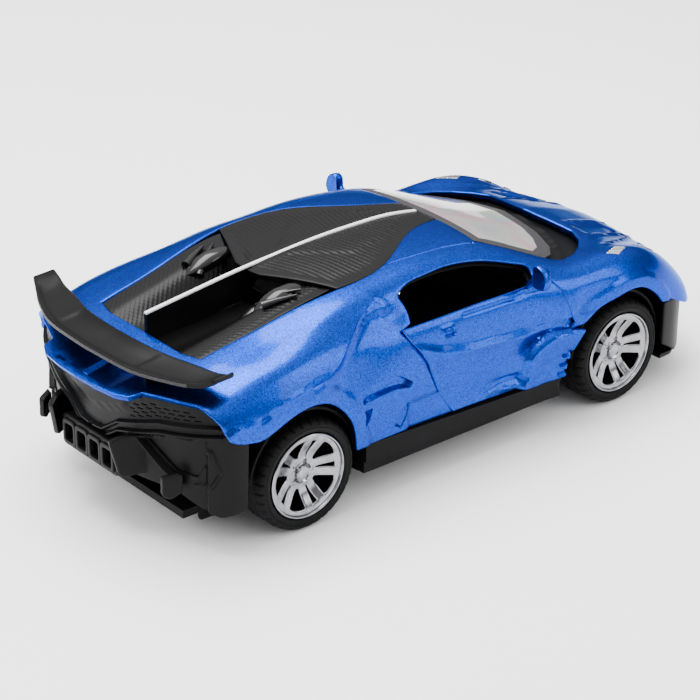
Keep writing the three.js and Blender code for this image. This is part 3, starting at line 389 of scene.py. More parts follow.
def panel(loop, place, holes=(), relief=None, grid=PANEL_GRID, wall=PANEL_WALL, edge=EDGE_ROUND, creases=(),
          points=None, skirt=None):
    """A closed sheet cut from a surface, its rim rounded: vertices and triangles in mm.

    place maps domain points to the surface, with u x v pointing out; relief moves them along the normal.
    """
    loop = np.asarray(loop, float)
    holes = [np.asarray(h, float) for h in holes]
    inner = lattice(loop, grid) if points is None else points
    clear = min(grid, 0.6) * 0.55
    keep = inside(inner, loop) & (distance_to(inner, np.vstack([loop, loop[:1]])) > clear)
    for hole in holes:
        keep &= ~inside(inner, hole) & (distance_to(inner, np.vstack([hole, hole[:1]])) > clear)
    for path in creases:
        keep &= distance_to(inner, path) > clear
    flat, faces = triangulate(loop, holes, inner[keep], creases)
    base = place(flat)
    normal = normals_of(place, flat)
    top = base + normal * relief(base)[:, None] if relief else base
    back = base - normal * wall
    back_start = len(top)
    verts = [top, back]
    tris = [faces, faces[:, ::-1] + back_start]
    count = 2 * back_start
    for ring in border_loops(faces):
        ring = np.array(ring)
        leg = np.roll(top[ring], -1, axis=0) - top[ring]
        leg = leg + (top[ring] - np.roll(top[ring], 1, axis=0))
        out = np.cross(leg, normal[ring])
        out /= np.maximum(np.linalg.norm(out, axis=1), 1e-9)[:, None]
        rows = []
        for turn in (30, 60, 90):
            angle = math.radians(turn)
            drop = normal[ring] * (edge * (math.cos(angle) - 1))
            rows.append(top[ring] + out * (edge * math.sin(angle)) + drop)
        if skirt is not None:
            foot = rows[-1].copy()
            foot[:, 2] = np.minimum(foot[:, 2], skirt(rows[-1]))
            rows.append(foot)
        previous = ring
        for row in rows:
            current = np.arange(count, count + len(ring))
            verts.append(row)
            tris.append(strip(previous, current))
            count += len(ring)
            previous = current
        tris.append(strip(previous, ring + back_start))
    return np.vstack(verts), np.vstack(tris)


def strip(first, second):
    """Two rows of triangles between equal rings."""
    a, b = first, np.roll(first, -1)
    c, d = second, np.roll(second, -1)
    return np.vstack([np.stack([a, c, d], 1), np.stack([a, d, b], 1)])


def mirror(mesh):
    verts, tris = mesh
    return verts * [1, -1, 1], tris[:, ::-1]


def moved(mesh, shift):
    return mesh[0] + np.asarray(shift, float), mesh[1]


def turned(mesh, axis, degrees):
    """A mesh turned about the X, Y or Z axis through the origin."""
    c, s = math.cos(math.radians(degrees)), math.sin(math.radians(degrees))
    i, j = {"x": (1, 2), "y": (2, 0), "z": (0, 1)}[axis]
    spin = np.eye(3)
    spin[i, i], spin[i, j], spin[j, i], spin[j, j] = c, -s, s, c
    return mesh[0] @ spin.T, mesh[1]


def joined(*meshes):
    verts = []
    tris = []
    count = 0
    for v, t in meshes:
        verts.append(v)
        tris.append(t + count)
        count += len(v)
    return np.vstack(verts), np.vstack(tris)


def plate(outline, height, wall, edge=0.2, grid=1.2, holes=(), plane="xy"):
    """A flat rounded plate: the outline's face is at the height, and its body lies below.

    plane names the two axes of the outline; the face looks along their cross product.
    """
    axes = {"xy": ([1, 0, 0], [0, 1, 0]), "yz": ([0, 1, 0], [0, 0, 1]), "zy": ([0, 0, 1], [0, 1, 0]),
            "xz": ([1, 0, 0], [0, 0, 1]), "zx": ([0, 0, 1], [1, 0, 0])}[plane]
    u, v = (np.array(a, float) for a in axes)
    face = np.cross(u, v)
    return panel(outline, lambda q: q[:, :1] * u + q[:, 1:] * v + face * height, holes, grid=grid, wall=wall,
                 edge=edge)


def lathe(profile, sides, shape=None):
    """A ring about the Y axis from a closed profile of [radius, y]; shape may move each point."""
    profile = np.asarray(profile, float)
    angles = np.arange(sides) * 2 * math.pi / sides
    radius = np.repeat(profile[None, :, 0], sides, 0)
    if shape is not None:
        radius = radius + shape(angles[:, None], profile[None, :, 0], profile[None, :, 1])
    height = np.repeat(profile[None, :, 1], sides, 0)
    verts = np.stack([radius * np.cos(angles)[:, None], height, radius * np.sin(angles)[:, None]], -1)
    size = len(profile)
    at = np.arange(sides * size).reshape(sides, size)
    a, b = at, np.roll(at, -1, 1)
    c, d = np.roll(at, -1, 0), np.roll(np.roll(at, -1, 0), -1, 1)
    tris = np.vstack([np.stack([a, b, d], -1).reshape(-1, 3), np.stack([a, d, c], -1).reshape(-1, 3)])
    return outward((verts.reshape(-1, 3), tris))


def tube(path, radius, sides=16):
    """A round bar along a path, with flat ends."""
    path = np.asarray(path, float)
    along = np.gradient(path, axis=0)
    along /= np.linalg.norm(along, axis=1)[:, None]
    guide = np.array([0, 0, 1.0]) if abs(along[0][2]) < 0.9 else np.array([1.0, 0, 0])
    side = np.cross(along, guide)
    side /= np.linalg.norm(side, axis=1)[:, None]
    over = np.cross(side, along)
    turn = np.arange(sides) * 2 * math.pi / sides
    size = np.broadcast_to(radius, (len(path),))[:, None, None]
    ring = np.cos(turn)[None, :, None] * side[:, None] + np.sin(turn)[None, :, None] * over[:, None]
    return lofted([*(path[:, None] + size * ring)])


def lofted(rings):
    """A closed solid through rings of equal counts, fan-capped at both ends."""
    rings = [np.asarray(r, float) for r in rings]
    size = len(rings[0])
    tris = []
    for i in range(len(rings) - 1):
        tris.append(strip(np.arange(size) + i * size, np.arange(size) + (i + 1) * size))
    verts = np.vstack([*rings, rings[0].mean(0)[None], rings[-1].mean(0)[None]])
    first = np.arange(size)
    last = first + (len(rings) - 1) * size
    centre = len(verts) - 2
    tris.append(np.stack([np.full(size, centre), first, np.roll(first, -1)], 1))
    tris.append(np.stack([np.full(size, centre + 1), np.roll(last, -1), last], 1))
    return outward((verts, np.vstack(tris)))


def outward(mesh):
    verts, tris = mesh
    a, b, c = (verts[tris[:, i]] for i in range(3))
    return mesh if np.einsum("ij,ij->i", a, np.cross(b, c)).sum() > 0 else (verts, tris[:, ::-1])


def make(name, mesh, material, body, replaces=()):
    """One piece: a mesh object riding on a body."""
    verts, tris = mesh
    data = bpy.data.meshes.new(name)
    data.from_pydata((verts * MM).tolist(), [], tris.tolist())
    data.validate()
    data.shade_smooth()
    data.set_sharp_from_angle(angle=math.radians(SHARP_DEGREES))
    piece = bpy.data.objects.new(name, data)
    bpy.context.scene.collection.objects.link(piece)
    for one in material if isinstance(material, (list, tuple)) else [material]:
        data.materials.append(one)
    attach(piece, body)
    if replaces:
        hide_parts(*replaces)
    return piece


def make_pair(name, mesh, material, bodies, replaced=None):
    """A right piece and its mirror image; bodies are the two they ride on, replaced a CAD name's stem."""
    for side, body, one in (("right", bodies[0], mesh), ("left", bodies[1], mirror(mesh))):
        nodes = [f"{replaced}_{side}"] if replaced else []
        make(f"{name}_{side}", one, material, body, nodes)


# ---------- materials ----------
def new_material(name, **sockets):
    """A Principled material with constant values on its own sockets; returns it with its nodes."""
    material = bpy.data.materials.new(name)
    material.use_nodes = True
    tree = material.node_tree
    shader = tree.nodes["Principled BSDF"]
    for socket, value in sockets.items():
        shader.inputs[socket.replace("_", " ")].default_value = value
    return material, tree, shader


def texture(tree, kind, scale, **values):
    """A texture node read at the piece's own place, in features per metre."""
    place = tree.nodes.new("ShaderNodeTexCoord")
    node = tree.nodes.new(kind)
    node.inputs["Scale"].default_value = scale
    for socket, value in values.items():
        node.inputs[socket].default_value = value
    tree.links.new(place.outputs["Object"], node.inputs["Vector"])
    return node


def shade(tree, source, low, high, target, start=0.0, end=1.0):
    """Drives a colour socket from a texture through a two-colour ramp."""
    mix = tree.nodes.new("ShaderNodeValToRGB")
    mix.color_ramp.elements[0].color = (*low, 1)
    mix.color_ramp.elements[0].position = start
    mix.color_ramp.elements[1].color = (*high, 1)
    mix.color_ramp.elements[1].position = end
    tree.links.new(source, mix.inputs["Fac"])
    tree.links.new(mix.outputs["Color"], target)


def remap(tree, source, low, high, target):
    node = tree.nodes.new("ShaderNodeMapRange")
    node.inputs["To Min"].default_value = low
    node.inputs["To Max"].default_value = high
    tree.links.new(source, node.inputs["Value"])
    tree.links.new(node.outputs["Result"], target)


def bump(tree, shader, source, strength, depth_mm):
    node = tree.nodes.new("ShaderNodeBump")
    node.inputs["Strength"].default_value = strength
    node.inputs["Distance"].default_value = depth_mm * MM
    tree.links.new(source, node.inputs["Height"])
    tree.links.new(node.outputs["Normal"], shader.inputs["Normal"])


def flake_paint():
    """Metallic blue: fine bright flakes under a clear coat."""
    material, tree, shader = new_material("flake_blue", Metallic=1.0, Roughness=0.3, Coat_Weight=0.2,
                                          Coat_Roughness=0.05, Specular_Tint=(0.25, 0.5, 1, 1))
    flakes = texture(tree, "ShaderNodeTexVoronoi", 1 / (0.17 * MM))
    shade(tree, flakes.outputs["Color"], (0.0001, 0.017, 0.18), (0.0003, 0.064, 0.56),
          shader.inputs["Base Color"], 0.15, 0.9)
    fine = texture(tree, "ShaderNodeTexNoise", 1 / (0.3 * MM), Detail=1.0)
    remap(tree, fine.outputs["Fac"], 0.24, 0.4, shader.inputs["Roughness"])
    bump(tree, shader, flakes.outputs["Distance"], 0.16, 0.03)
    return material


def moulded(name, dark, light, roughness, grain_mm=0.35, depth=0.02, **sockets):
    """Moulded plastic or rubber with a fine grain."""
    material, tree, shader = new_material(name, Roughness=roughness, **sockets)
    grain = texture(tree, "ShaderNodeTexNoise", 1 / (grain_mm * MM), Detail=4.0)
    shade(tree, grain.outputs["Fac"], dark, light, shader.inputs["Base Color"], 0.3, 0.7)
    broad = texture(tree, "ShaderNodeTexNoise", 1 / (9 * MM), Detail=2.0)
    remap(tree, broad.outputs["Fac"], roughness - 0.06, roughness + 0.06, shader.inputs["Roughness"])
    bump(tree, shader, grain.outputs["Fac"], 0.5, depth)
    return material


def plated(name, dark, light, roughness):
    """Vacuum-plated or turned metal with slight streaks."""
    material, tree, shader = new_material(name, Metallic=1.0, Roughness=roughness)
    streaks = texture(tree, "ShaderNodeTexNoise", 1 / (1.5 * MM), Detail=5.0)
    shade(tree, streaks.outputs["Fac"], dark, light, shader.inputs["Base Color"], 0.3, 0.7)
    remap(tree, streaks.outputs["Fac"], roughness - 0.05, roughness + 0.08, shader.inputs["Roughness"])
    bump(tree, shader, streaks.outputs["Fac"], 0.15, 0.01)
    return material


def screen_glass():
    """Clear, faintly milky plastic sheet; its oil-like sheen is painted into its colour as soft patches of
    tint.
    """
    material, tree, shader = new_material("screen_glass", Roughness=0.12, IOR=1.49, Coat_Weight=1.0,
                                          Transmission_Weight=0.35, Coat_Roughness=0.03)
    # Painted sheen: noise picks soft patches of pink, green and yellow tint in the base colour, standing in
    # for an oil-like sheen of reflected light.
    sheen_patches = texture(tree, "ShaderNodeTexNoise", 1 / (14 * MM), Detail=1.0)
    mix = tree.nodes.new("ShaderNodeValToRGB")
    sheen_tints = [(0.2, (0.42, 0.42, 0.50)), (0.42, (0.55, 0.56, 0.52)), (0.5, (0.62, 0.40, 0.46)),
             (0.58, (0.40, 0.56, 0.54)), (0.8, (0.62, 0.58, 0.42))]
    ramp_points = mix.color_ramp.elements
    while len(ramp_points) < len(sheen_tints):
        ramp_points.new(0.5)
    for point, (place, tint) in zip(ramp_points, sheen_tints):
        point.position = place
        point.color = (*tint, 1)
    tree.links.new(sheen_patches.outputs["Fac"], mix.inputs["Fac"])
    tree.links.new(mix.outputs["Color"], shader.inputs["Base Color"])
    return material


PAINT = flake_paint()
SOOT = ((0.0015, 0.0015, 0.0016), (0.0035, 0.0035, 0.0038))
BLACK = moulded("black_satin_plastic", *SOOT, 0.42, Specular_IOR_Level=0.1)
CHASSIS = moulded("black_chassis_plastic", *SOOT, 0.55, Specular_IOR_Level=0.09)
CABIN = moulded("black_matt_plastic", *SOOT, 0.6, 0.5, Specular_IOR_Level=0.09)
CARBON = moulded("ribbed_black_plastic", (0.0015, 0.0015, 0.0016), (0.003, 0.003, 0.0034), 0.3, 0.25, 0.01,
                 Specular_IOR_Level=0.13)
GLOSS_BLACK = moulded("gloss_black_plastic", (0.002, 0.002, 0.0022), (0.004, 0.004, 0.0045), 0.15, 1.2,
                      0.005, Specular_IOR_Level=0.4)
RUBBER = moulded("tyre_rubber", (0.003, 0.003, 0.003), (0.007, 0.007, 0.007), 0.6, 0.3,
                 Specular_IOR_Level=0.09)
GREY_PLASTIC = moulded("grey_plastic", (0.022, 0.021, 0.023), (0.036, 0.034, 0.037), 0.5, 0.4,
                       Specular_IOR_Level=0.2)
WHITE_LINE = moulded("white_line", (0.72, 0.72, 0.74), (0.82, 0.82, 0.84), 0.3, 0.4, 0.005)
SILVER = plated("plated_silver", (0.20, 0.20, 0.215), (0.34, 0.34, 0.36), 0.2)
BRIGHT = plated("bright_trim", (0.72, 0.72, 0.74), (0.88, 0.88, 0.9), 0.14)
STEEL = plated("plain_steel", (0.40, 0.41, 0.43), (0.55, 0.56, 0.58), 0.32)
NYLON = moulded("natural_nylon", (0.70, 0.67, 0.58), (0.80, 0.77, 0.68), 0.45, 0.6, Subsurface_Weight=0.1)
GLASS = screen_glass()


# ---------- outlines: side ones are [x, z], top ones are [x, half width] ----------
REAR_ARCH = [[-54.1, 24.7], [-51.9, 25.5], [-48.9, 26.7], [-45.1, 27.7], [-40.9, 27.6], [-36.7, 25.8],
             [-33.9, 23.2], [-31.9, 19.8], [-31, 16.2], [-30.7, 13.9]]
FRONT_ARCH = [[29.8, 23], [33.6, 24.9], [37.7, 26.2], [42.2, 27], [46.8, 26.4], [50.1, 24.5], [52.5, 22.4],
              [54, 20.6]]
DOOR_REAR = [[-4.4, 12.7], [-9, 19.3], [-12, 26.2], [-16, 31.9], [-17.4, 34.2]]
DOOR_FRONT = [[21.8, 34.3], [24.2, 31.4], [26.1, 26.4], [27.2, 23.8], [26.2, 22.6]]
FIN_FRONT = [[29.4, 21.9], [27.9, 19.2], [26.6, 16.7], [25.9, 14], [25.7, 11.5]]
WINDOW_TOP = [[-14.9, 35.2], [-14.8, 38], [-15.6, 39.9], [-14.3, 40.9], [-8.9, 41.9], [-2.4, 42.1],
              [3, 41.6], [8.2, 40.6], [13.5, 39], [16.6, 38], [18.8, 36.8], [18.2, 34.7]]
REAR_LIP = [[-74.6, 0], [-74.4, 6], [-73.6, 11.4], [-72.3, 14.1], [-69.7, 14.9], [-66.6, 23], [-64.8, 26.4]]
NOSE_EDGE = [[68.4, 22.6], [71, 18], [73.2, 12], [74.3, 6], [74.5, 0]]
INSERT_REAR = [[-58.6, 0], [-58.6, 12], [-57.5, 16.6]]
INSERT_SIDE = [[-57.5, 16.6], [-46.8, 17.3], [-36, 18.3], [-27.4, 19.3], [-18.6, 19.2], [-13.3, 17.8],
               [-4.4, 12.4], [2.7, 8.3], [11, 5.9]]
SCREEN_SIDE = [[10.9, 5.9], [10.9, 10], [10.3, 18], [14, 19.9], [20, 21.8], [26.2, 23.4], [29.9, 23.9]]
SCREEN_FRONT = [[29.9, 23.9], [34.8, 22.4], [38.7, 20], [42, 16.8], [43.8, 13], [42.9, 8], [42.2, 4],
                [41.8, 0]]
LAMP = [[48.6, 24.6], [52, 22.6], [57, 20.2], [63, 18], [68.4, 15.8], [67.6, 19], [63.5, 22.2], [57, 24.6],
        [52, 25.4]]
LOUVRE = [[39.6, 26.9], [44.6, 24.4], [47, 26], [42.2, 28.3]]
NOSE_PAINT_EDGE = [[54, 20.6], [57.8, 19.8], [63, 17.2], [66, 15.6], [68.2, 15]]


def paint_bottom(x):
    return np.interp(x, [57.8, 66, 80], [19.8, 15.6, 12.4])


def shell_loops():
    """The painted shell's outline on the right half, from the tail round the sill to the nose, and back."""
    tail = by_width(REAR_LIP)
    low = [[-63.9, 31.4], [-62.9, 29.7], [-61.8, 26.6], [-60.6, 25.8], [-58.9, 25.2], [-55.5, 24.6]]
    rear_door = [[x - DOOR_GAP / 2, z] for x, z in DOOR_REAR]
    front_door = [[x + DOOR_GAP / 2, z] for x, z in DOOR_FRONT]
    side = by_height([*low, *curved(REAR_ARCH, 0.5).tolist(), [-30.6, 13.8], *rear_door,
                      *curved(WINDOW_TOP, 0.5).tolist(), *front_door,
                      *curved(FRONT_ARCH, 0.5).tolist(), *NOSE_PAINT_EDGE])
    nose = by_width(NOSE_EDGE)
    edge = np.vstack([[[-74.6, CENTRE_W]], tail[1:], side, nose[:-1], [[74.5, CENTRE_W]]])
    screen = by_width([*SCREEN_FRONT[::-1], *SCREEN_SIDE[::-1][1:]])
    insert = by_width([*curved(INSERT_SIDE[::-1], 0.5).tolist(), *INSERT_REAR[::-1][1:]])
    hole = np.vstack([[[41.8, CENTRE_W]], screen[1:], insert[1:-1], [[-58.6, CENTRE_W]]])
    return both_sides(edge), both_sides(hole)


# ---------- relief of the painted surfaces ----------
REAR_FLANGE = [[-60, 25.4], *REAR_ARCH]
FRONT_FLANGE = [[28.5, 22.3], *FRONT_ARCH]
CREASE = [[-19.5, 41.4], [-21.9, 40.6], [-27.4, 37.9], [-32, 35.2], [-34.8, 33], [-37.9, 31.5],
          [-42.5, 31.2], [-49, 29.9], [-56, 28.2], [-62.5, 27.6]]
ROOF_SEAM = [[-12.6, 18], [-5.7, 18.3], [1.9, 18.1], [9.4, 18.4]]
FUEL_CAP = (-20.3, 38.9)
VENT = [[-29.8, 22.7], [-28.2, 25.1], [-25.6, 26.3], [-22.3, 26.3], [-19, 25.6], [-15.6, 23.2]]
VENT_LOW = [[-29.8, 22.7], [-25, 23], [-20, 22.9], [-15.4, 22]]
SLOT = [[-28.9, 21.5], [-26.6, 21.4], [-27.5, 18.7], [-28.9, 18]]
ROCKER = [[-16.9, 19.2], [-15.7, 18.2], [-18.6, 13.9], [-20.6, 15.1]]


def flange(q, path, reach, height):
    """A raised lip that follows an arch."""
    return height * (1 - ramp(distance_to(q, path), reach - 0.35, reach + 0.25))


def groove(q, path, half, depth):
    return -depth * (1 - ramp(distance_to(q, path), half * 0.3, half))


def ridge(q, path, half, height):
    return height * (1 - ramp(distance_to(q, path), 0, half))


def under_line(q, path):
    """How far each point lies below a line that runs along x."""
    path = np.asarray(path, float)
    return np.interp(q[:, 0], path[:, 0], path[:, 1]) - q[:, 1]


def shell_relief(place):
    x, side, z = place[:, 0], np.abs(place[:, 1]), place[:, 2]
    q = np.stack([x, z], 1)
    top = np.stack([x, side], 1)
    on_side = ramp(side, 24.5, 26.5)
    out = flange(q, REAR_FLANGE, 3.3, 0.38) * on_side + flange(q, FRONT_FLANGE, 2.8, 0.34) * on_side
    # The crease behind the window: the rear quarter stands proud of the panel in front of and below it.
    crease = np.array(CREASE)
    behind = under_line(q, crease[::-1])
    step = ramp(-behind, -0.25, 0.25) * np.exp(-np.maximum(-behind, 0) / 6)
    fade = ramp(x, -62, -52) * ramp(-x, 19.5, 22)
    out += 0.5 * step * fade * ramp(side, 22.5, 24.5)
    scoop = ramp(behind, 0, 2.5) * ramp(-behind, -16, -6) * ramp(x, -42, -33) * (1 - ramp(x, -19, -11))
    out -= 0.9 * scoop * on_side
    # Fuel cap: a ring round a flat disc.
    far = np.hypot(x - FUEL_CAP[0], z - FUEL_CAP[1])
    near_cap = side > 20
    disc = 0.22 * (1 - ramp(far, 1.65, 1.9))
    ring = 0.3 * (ramp(far, 0.95, 1.1) * (1 - ramp(far, 1.3, 1.45)))
    out += near_cap * (disc - ring)
    # Vent blade, slot and rocker mark in front of the rear wheel.
    low_side = side > 26
    vent = [*VENT, *VENT_LOW[:0:-1]]
    inner = signed_depth(q, rounded(vent, 0.5))
    below_blade = under_line(q, VENT)
    out -= low_side * 1.25 * ramp(inner, 0, 0.5) * ramp(-below_blade, -3.2, -0.2)
    out -= low_side * 1.1 * ramp(inner, 0.1, 0.6) * (1 - ramp(inner, 1.4, 2.2))
    out -= low_side * 1.2 * ramp(signed_depth(q, rounded(SLOT, 0.3)), 0, 0.35)
    out -= low_side * 0.45 * ramp(signed_depth(q, rounded(ROCKER, 0.3)), -0.05, 0.3)
    tuck = ramp(under_line(q, [[-18, 19.2], [-15.5, 18.6], [-8, 18.8]]), 0, 0.35) * ramp(x, -17.5, -15.5)
    out -= low_side * 0.5 * tuck * (x < 0)
    # Tail ledge: two sunk pockets with a wedge between them.
    in_pocket = ramp(side, 0.5, 0.8) * (1 - side / 9.6) * (side < 9.6)
    out -= 2.6 * np.clip(in_pocket, 0, 1) * ramp(x, -73.3, -72.9) * (1 - ramp(x, -66.6, -65.8))
    # Bonnet: long creases from the screen to the nose, and a pair of shield-shaped fields.
    bonnet = ramp(x, 42, 46)
    for path in ([[36, 24.8], [46, 21.5], [56, 16.5], [64, 10.5], [67.5, 7]],
                 [[47, 15.6], [56, 13.6], [60.5, 12.2]],
                 [[44, 9], [52, 7.6], [60, 6.4]]):
        out += ridge(top, path, 0.55, 0.32) * bonnet
    shield = rounded([[46.5, 15.3], [57.5, 13], [59.5, 10.4], [58, 8.4], [46, 9.6]], 1.6)
    out -= 0.35 * ramp(signed_depth(top, shield), 0, 0.5) * (x > 40)
    out += ridge(top, [[62, 15.2], [66.5, 14]], 0.5, 0.3)
    # Fender top behind the front arch: a soft hollow that meets the door.
    hollow = 0.7 * ramp(x, 27, 30) * (1 - ramp(x, 33, 40)) * ramp(z, 23, 26)
    out -= hollow * (1 - ramp(z, 28.5, 31)) * on_side
    # Roof seam between the roof skin and the side rail.
    out -= 0.4 * np.clip(2 - 2 * distance_to(top, ROOF_SEAM) / 0.24, 0, 1) * (z > 40)
    return out


BAND_TOP = [[-18, 32.9], [-15.5, 31.6], [-8.2, 29], [1.2, 27.1], [13.3, 26.3], [27.1, 24.8]]
BAND_LOW = [[-18, 31.2], [-13.2, 29.6], [-8.2, 27.2], [-2.7, 26], [9.3, 24.9], [27.3, 23.1]]
SILL_LINE = [[-12, 19.2], [-7.8, 18.8], [3.4, 17.6], [11.2, 16.9], [14.4, 16.6]]
FIN_REAR = [[12.6, 11], [14.2, 13.4], [15, 15.2], [15.2, 18.4], [16.2, 19.9], [17.8, 21.1], [19.6, 22.1],
            [21.6, 22.8], [27, 22.6], [30, 22.4]]


def door_relief(place):
    x, z = place[:, 0], place[:, 2]
    q = np.stack([x, z], 1)
    band = under_line(q, BAND_TOP)
    width = np.maximum(np.interp(x, *np.array(BAND_TOP).T) - np.interp(x, *np.array(BAND_LOW).T), 0.5)
    below = under_line(q, BAND_LOW)
    out = 0.95 * np.clip(band / width, 0, 1) * np.exp(-np.maximum(below, 0) / 5.5)
    # Sunk field below the sill line, running into a fold at the fin.
    sill = under_line(q, SILL_LINE)
    before_fin = 1 - ramp(x, 13.8, 14.8)
    out -= 0.75 * ramp(sill, 0, 0.45) * before_fin * (1 - 0.5 * ramp(sill, 3, 6))
    out -= 0.55 * ramp(sill, 1.0, 1.8) * (1 - ramp(sill, 2.2, 3.4)) * ramp(x, 3.5, 11) * before_fin
    out += 0.4 * ramp(sill, 3.3, 3.6) * (1 - ramp(sill, 3.9, 4.6)) * ramp(x, 4, 6) * before_fin
    # Valley that deepens towards the fin, and the fin's raised face.
    fin_depth = signed_depth(q, [*FIN_REAR, [31, 10], [14, 10]])
    behind_fin = np.maximum(-fin_depth, 0)
    valley = np.exp(-((behind_fin / 3.4) ** 2)) * ramp(behind_fin, 0, 0.4)
    valley = valley * ramp(x, 8, 13) * ramp(z, 15.5, 18)
    out -= 1.35 * valley * ramp(-below, -9.5, -1.2) * (below > -1.5)
    out += 0.85 * ramp(fin_depth, -0.1, 0.75)
    out -= 0.3 * ramp(fin_depth, 1.2, 6)
    # Three slats at the fin's lower front with shallow lines running back from them.
    for height in (17.0, 14.9, 12.8):
        foot = [[24.6 - 0.2 * (17 - height), height], [26.4 - 0.2 * (17 - height), height + 0.2]]
        out -= 0.75 * (1 - ramp(distance_to(q, foot), 0.3, 0.62))
        out += groove(q, [[17.5, height - 1.2], [24, height - 0.2]], 0.28, 0.12)
    # Handle: a raised frame round a finger recess.
    handle = rounded([[-8.3, 32.4], [-4.9, 32.2], [-4.2, 30], [-7.7, 30]], 0.5)
    rim = signed_depth(q, handle)
    out += 0.22 * ramp(rim, -0.25, 0.05) * (1 - ramp(rim, 0.25, 0.45))
    out -= 0.35 * ramp(rim, 0.3, 0.6)
    out += 0.5 * (1 - ramp(np.abs(z - (31.05 - 0.1 * (x + 6.4))), 0.2, 0.45)) * ramp(rim, 0.1, 0.3)
    # Groove under the top edge.
    out += groove(q, [[-2, 33.2], [10, 33.25], [20, 33.2]], 0.3, 0.22)
    return out


# ---------- painted pieces ----------
def build_shell():
    loop, hole = shell_loops()
    lamp = by_width(rounded(LAMP, 1.0))
    louvre = by_width(rounded(LOUVRE, 0.4))
    holes = [hole, lamp, far_side(lamp), louvre, far_side(louvre)]

    def nose_foot(points):
        at_nose = points[:, 0] > 68
        return np.where(at_nose, paint_bottom(points[:, 0]), points[:, 2])

    seam = [[[x, s + shift] for x, s in ROOF_SEAM] for shift in (-0.24, 0, 0.24)]
    bend = [[[x, z + shift] for x, z in CREASE[1:-1]] for shift in (-0.25, 0.25)]
    lines = [by_width(line) for line in seam] + [by_height(line) for line in bend]
    for outline, soft in (([*VENT, *VENT_LOW[:0:-1]], 0.5), (SLOT, 0.3), (ROCKER, 0.3)):
        ring = rounded(outline, soft)
        for size in (1, 0.82):
            inner = scaled(ring, size)
            lines.append(by_height(np.vstack([inner, inner[:1]])))
    lines += [far_side(line) for line in lines]
    mesh = panel(loop, body_place, holes, shell_relief, creases=lines, skirt=nose_foot)
    make("painted_shell", mesh, PAINT, "car_body", ["body_shell"])


def door_loop():
    inset = DOOR_GAP / 2
    rear = [[x + inset, z] for x, z in DOOR_REAR]
    front = [[x - inset, z] for x, z in DOOR_FRONT]
    fin = [[x - inset, z] for x, z in FIN_FRONT]
    notch = [[26.1, 22.4], [27.6, 22.1]]
    bottom = [[14.2, 12.1], [-4.1, 12.8]]
    return by_height([*rear, *front, *notch, *fin, *bottom])[:-1]


def door_arm():
    """The hinge arm behind the door, bent inboard round the fender edge, with its knuckle."""
    path = [[0, 0, 1], [-4.7, 4.7, 1], [-7.6, 3.6, 1], [-9.8, 1.6, 1], [-10.2, -2.2, 1]]
    bars = []
    for a, b in zip(path, path[1:]):
        a, b = np.array(a, float), np.array(b, float)
        along = (b - a) / np.linalg.norm(b - a)
        side = np.array([-along[1], along[0], 0]) * 0.55
        ring = [side + [0, 0, -0.9], side + [0, 0, 0.9], -side + [0, 0, 0.9], -side + [0, 0, -0.9]]
        bars.append(lofted([a - along * 0.3 + ring, b + along * 0.3 + ring]))
    knuckle = turned(lathe([[0.8, 0], [1.2, 0], [1.35, 0.2], [1.35, 1.8], [1.2, 2], [0.8, 2]], 24), "x", 90)
    return moved(joined(*bars, knuckle), DOOR_PIVOT)


def build_doors():
    lines = [FIN_REAR[1:-2], [[x + 0.75, z - 0.1] for x, z in FIN_REAR[1:-2]]]
    lines += [SILL_LINE[1:], [[x, z - 0.45] for x, z in SILL_LINE[1:]], BAND_TOP[2:-1], BAND_LOW[2:-1]]
    creases = [by_height(line) for line in lines]
    skin = panel(door_loop(), body_place, (), door_relief, grid=0.45, wall=1.0, creases=creases)
    mesh = joined(skin, door_arm())
    make_pair("door_skin", mesh, PAINT, DOORS, "door")


def build_mirrors():
    """Each mirror: a shell tapering forward from a flat face, on a short stalk."""
    outline = rounded([[-30.7, 35.3], [-34.1, 35.3], [-34.9, 37], [-34, 39.6], [-32, 40.4], [-30.9, 39.8]],
                      1.1, 0.3)
    stations = ((14.5, 0.86), (14.45, 0.94), (14.7, 1.0), (15.6, 1.0), (16.3, 0.9), (16.7, 0.74),
                (16.85, 0.45))
    head = lofted([np.column_stack([np.full(len(outline), x), scaled(outline, size)])
                   for x, size in stations])
    stalk_path = [[15.7, -28.7, 34.6], [15.8, -29.7, 35.6], [15.8, -31, 36.8], [15.8, -32, 37.4]]
    mesh = joined(head, tube(curved(stalk_path, 0.3), 0.75))
    make_pair("mirror_shell", mesh, PAINT, DOORS, "mirror")


# ---------- roof, screen and lamps ----------
RIB_PITCH = 1.15


def rib_points(loop):
    """Points in rows that follow ribs slanting forward to the centre line."""
    low, high = loop.min(0), loop.max(0)
    out = []
    for side in (-1, 1):
        s = np.arange(0.3, 21, 0.9)
        q = np.arange(low[0], high[0] + 22, RIB_PITCH / 4)
        grid_q, grid_s = np.meshgrid(q, s)
        x = (grid_q - grid_s).ravel()
        w = CENTRE_W + side * np.interp(grid_s.ravel(), [0, 11, 21.2], [0, 11, 21])
        keep = (x > low[0]) & (x < high[0])
        out.append(np.column_stack([x, w])[keep])
    return np.vstack(out)


def ribs(x, side, depth):
    return depth * (0.5 - 0.5 * np.cos((x + side) * 2 * math.pi / RIB_PITCH))


ROOF_FIELD = [[-33, 1.6], [-25.8, 16.6], [-19, 16.9], [-13.8, 15.6], [-5, 10.4], [2, 6.8], [6, 4.6],
              [6, 1.6]]
ROOF_REAR = [[-34, 0], [-33.4, 4], [-26.2, 18.6]]


def roof_relief(place):
    x, side, top = top_view(place)
    field = ramp(signed_depth(top, ROOF_FIELD), 0, 0.3)
    chevron = signed_depth(top, [[-26, 0.8], [-14.5, 10.5], [-6, 8], [3, 3.8], [3, 0.8]])
    step = 0.16 * ramp(chevron, -0.1, 0.12)
    return -0.16 * field + field * ribs(x, side, 0.17) + step


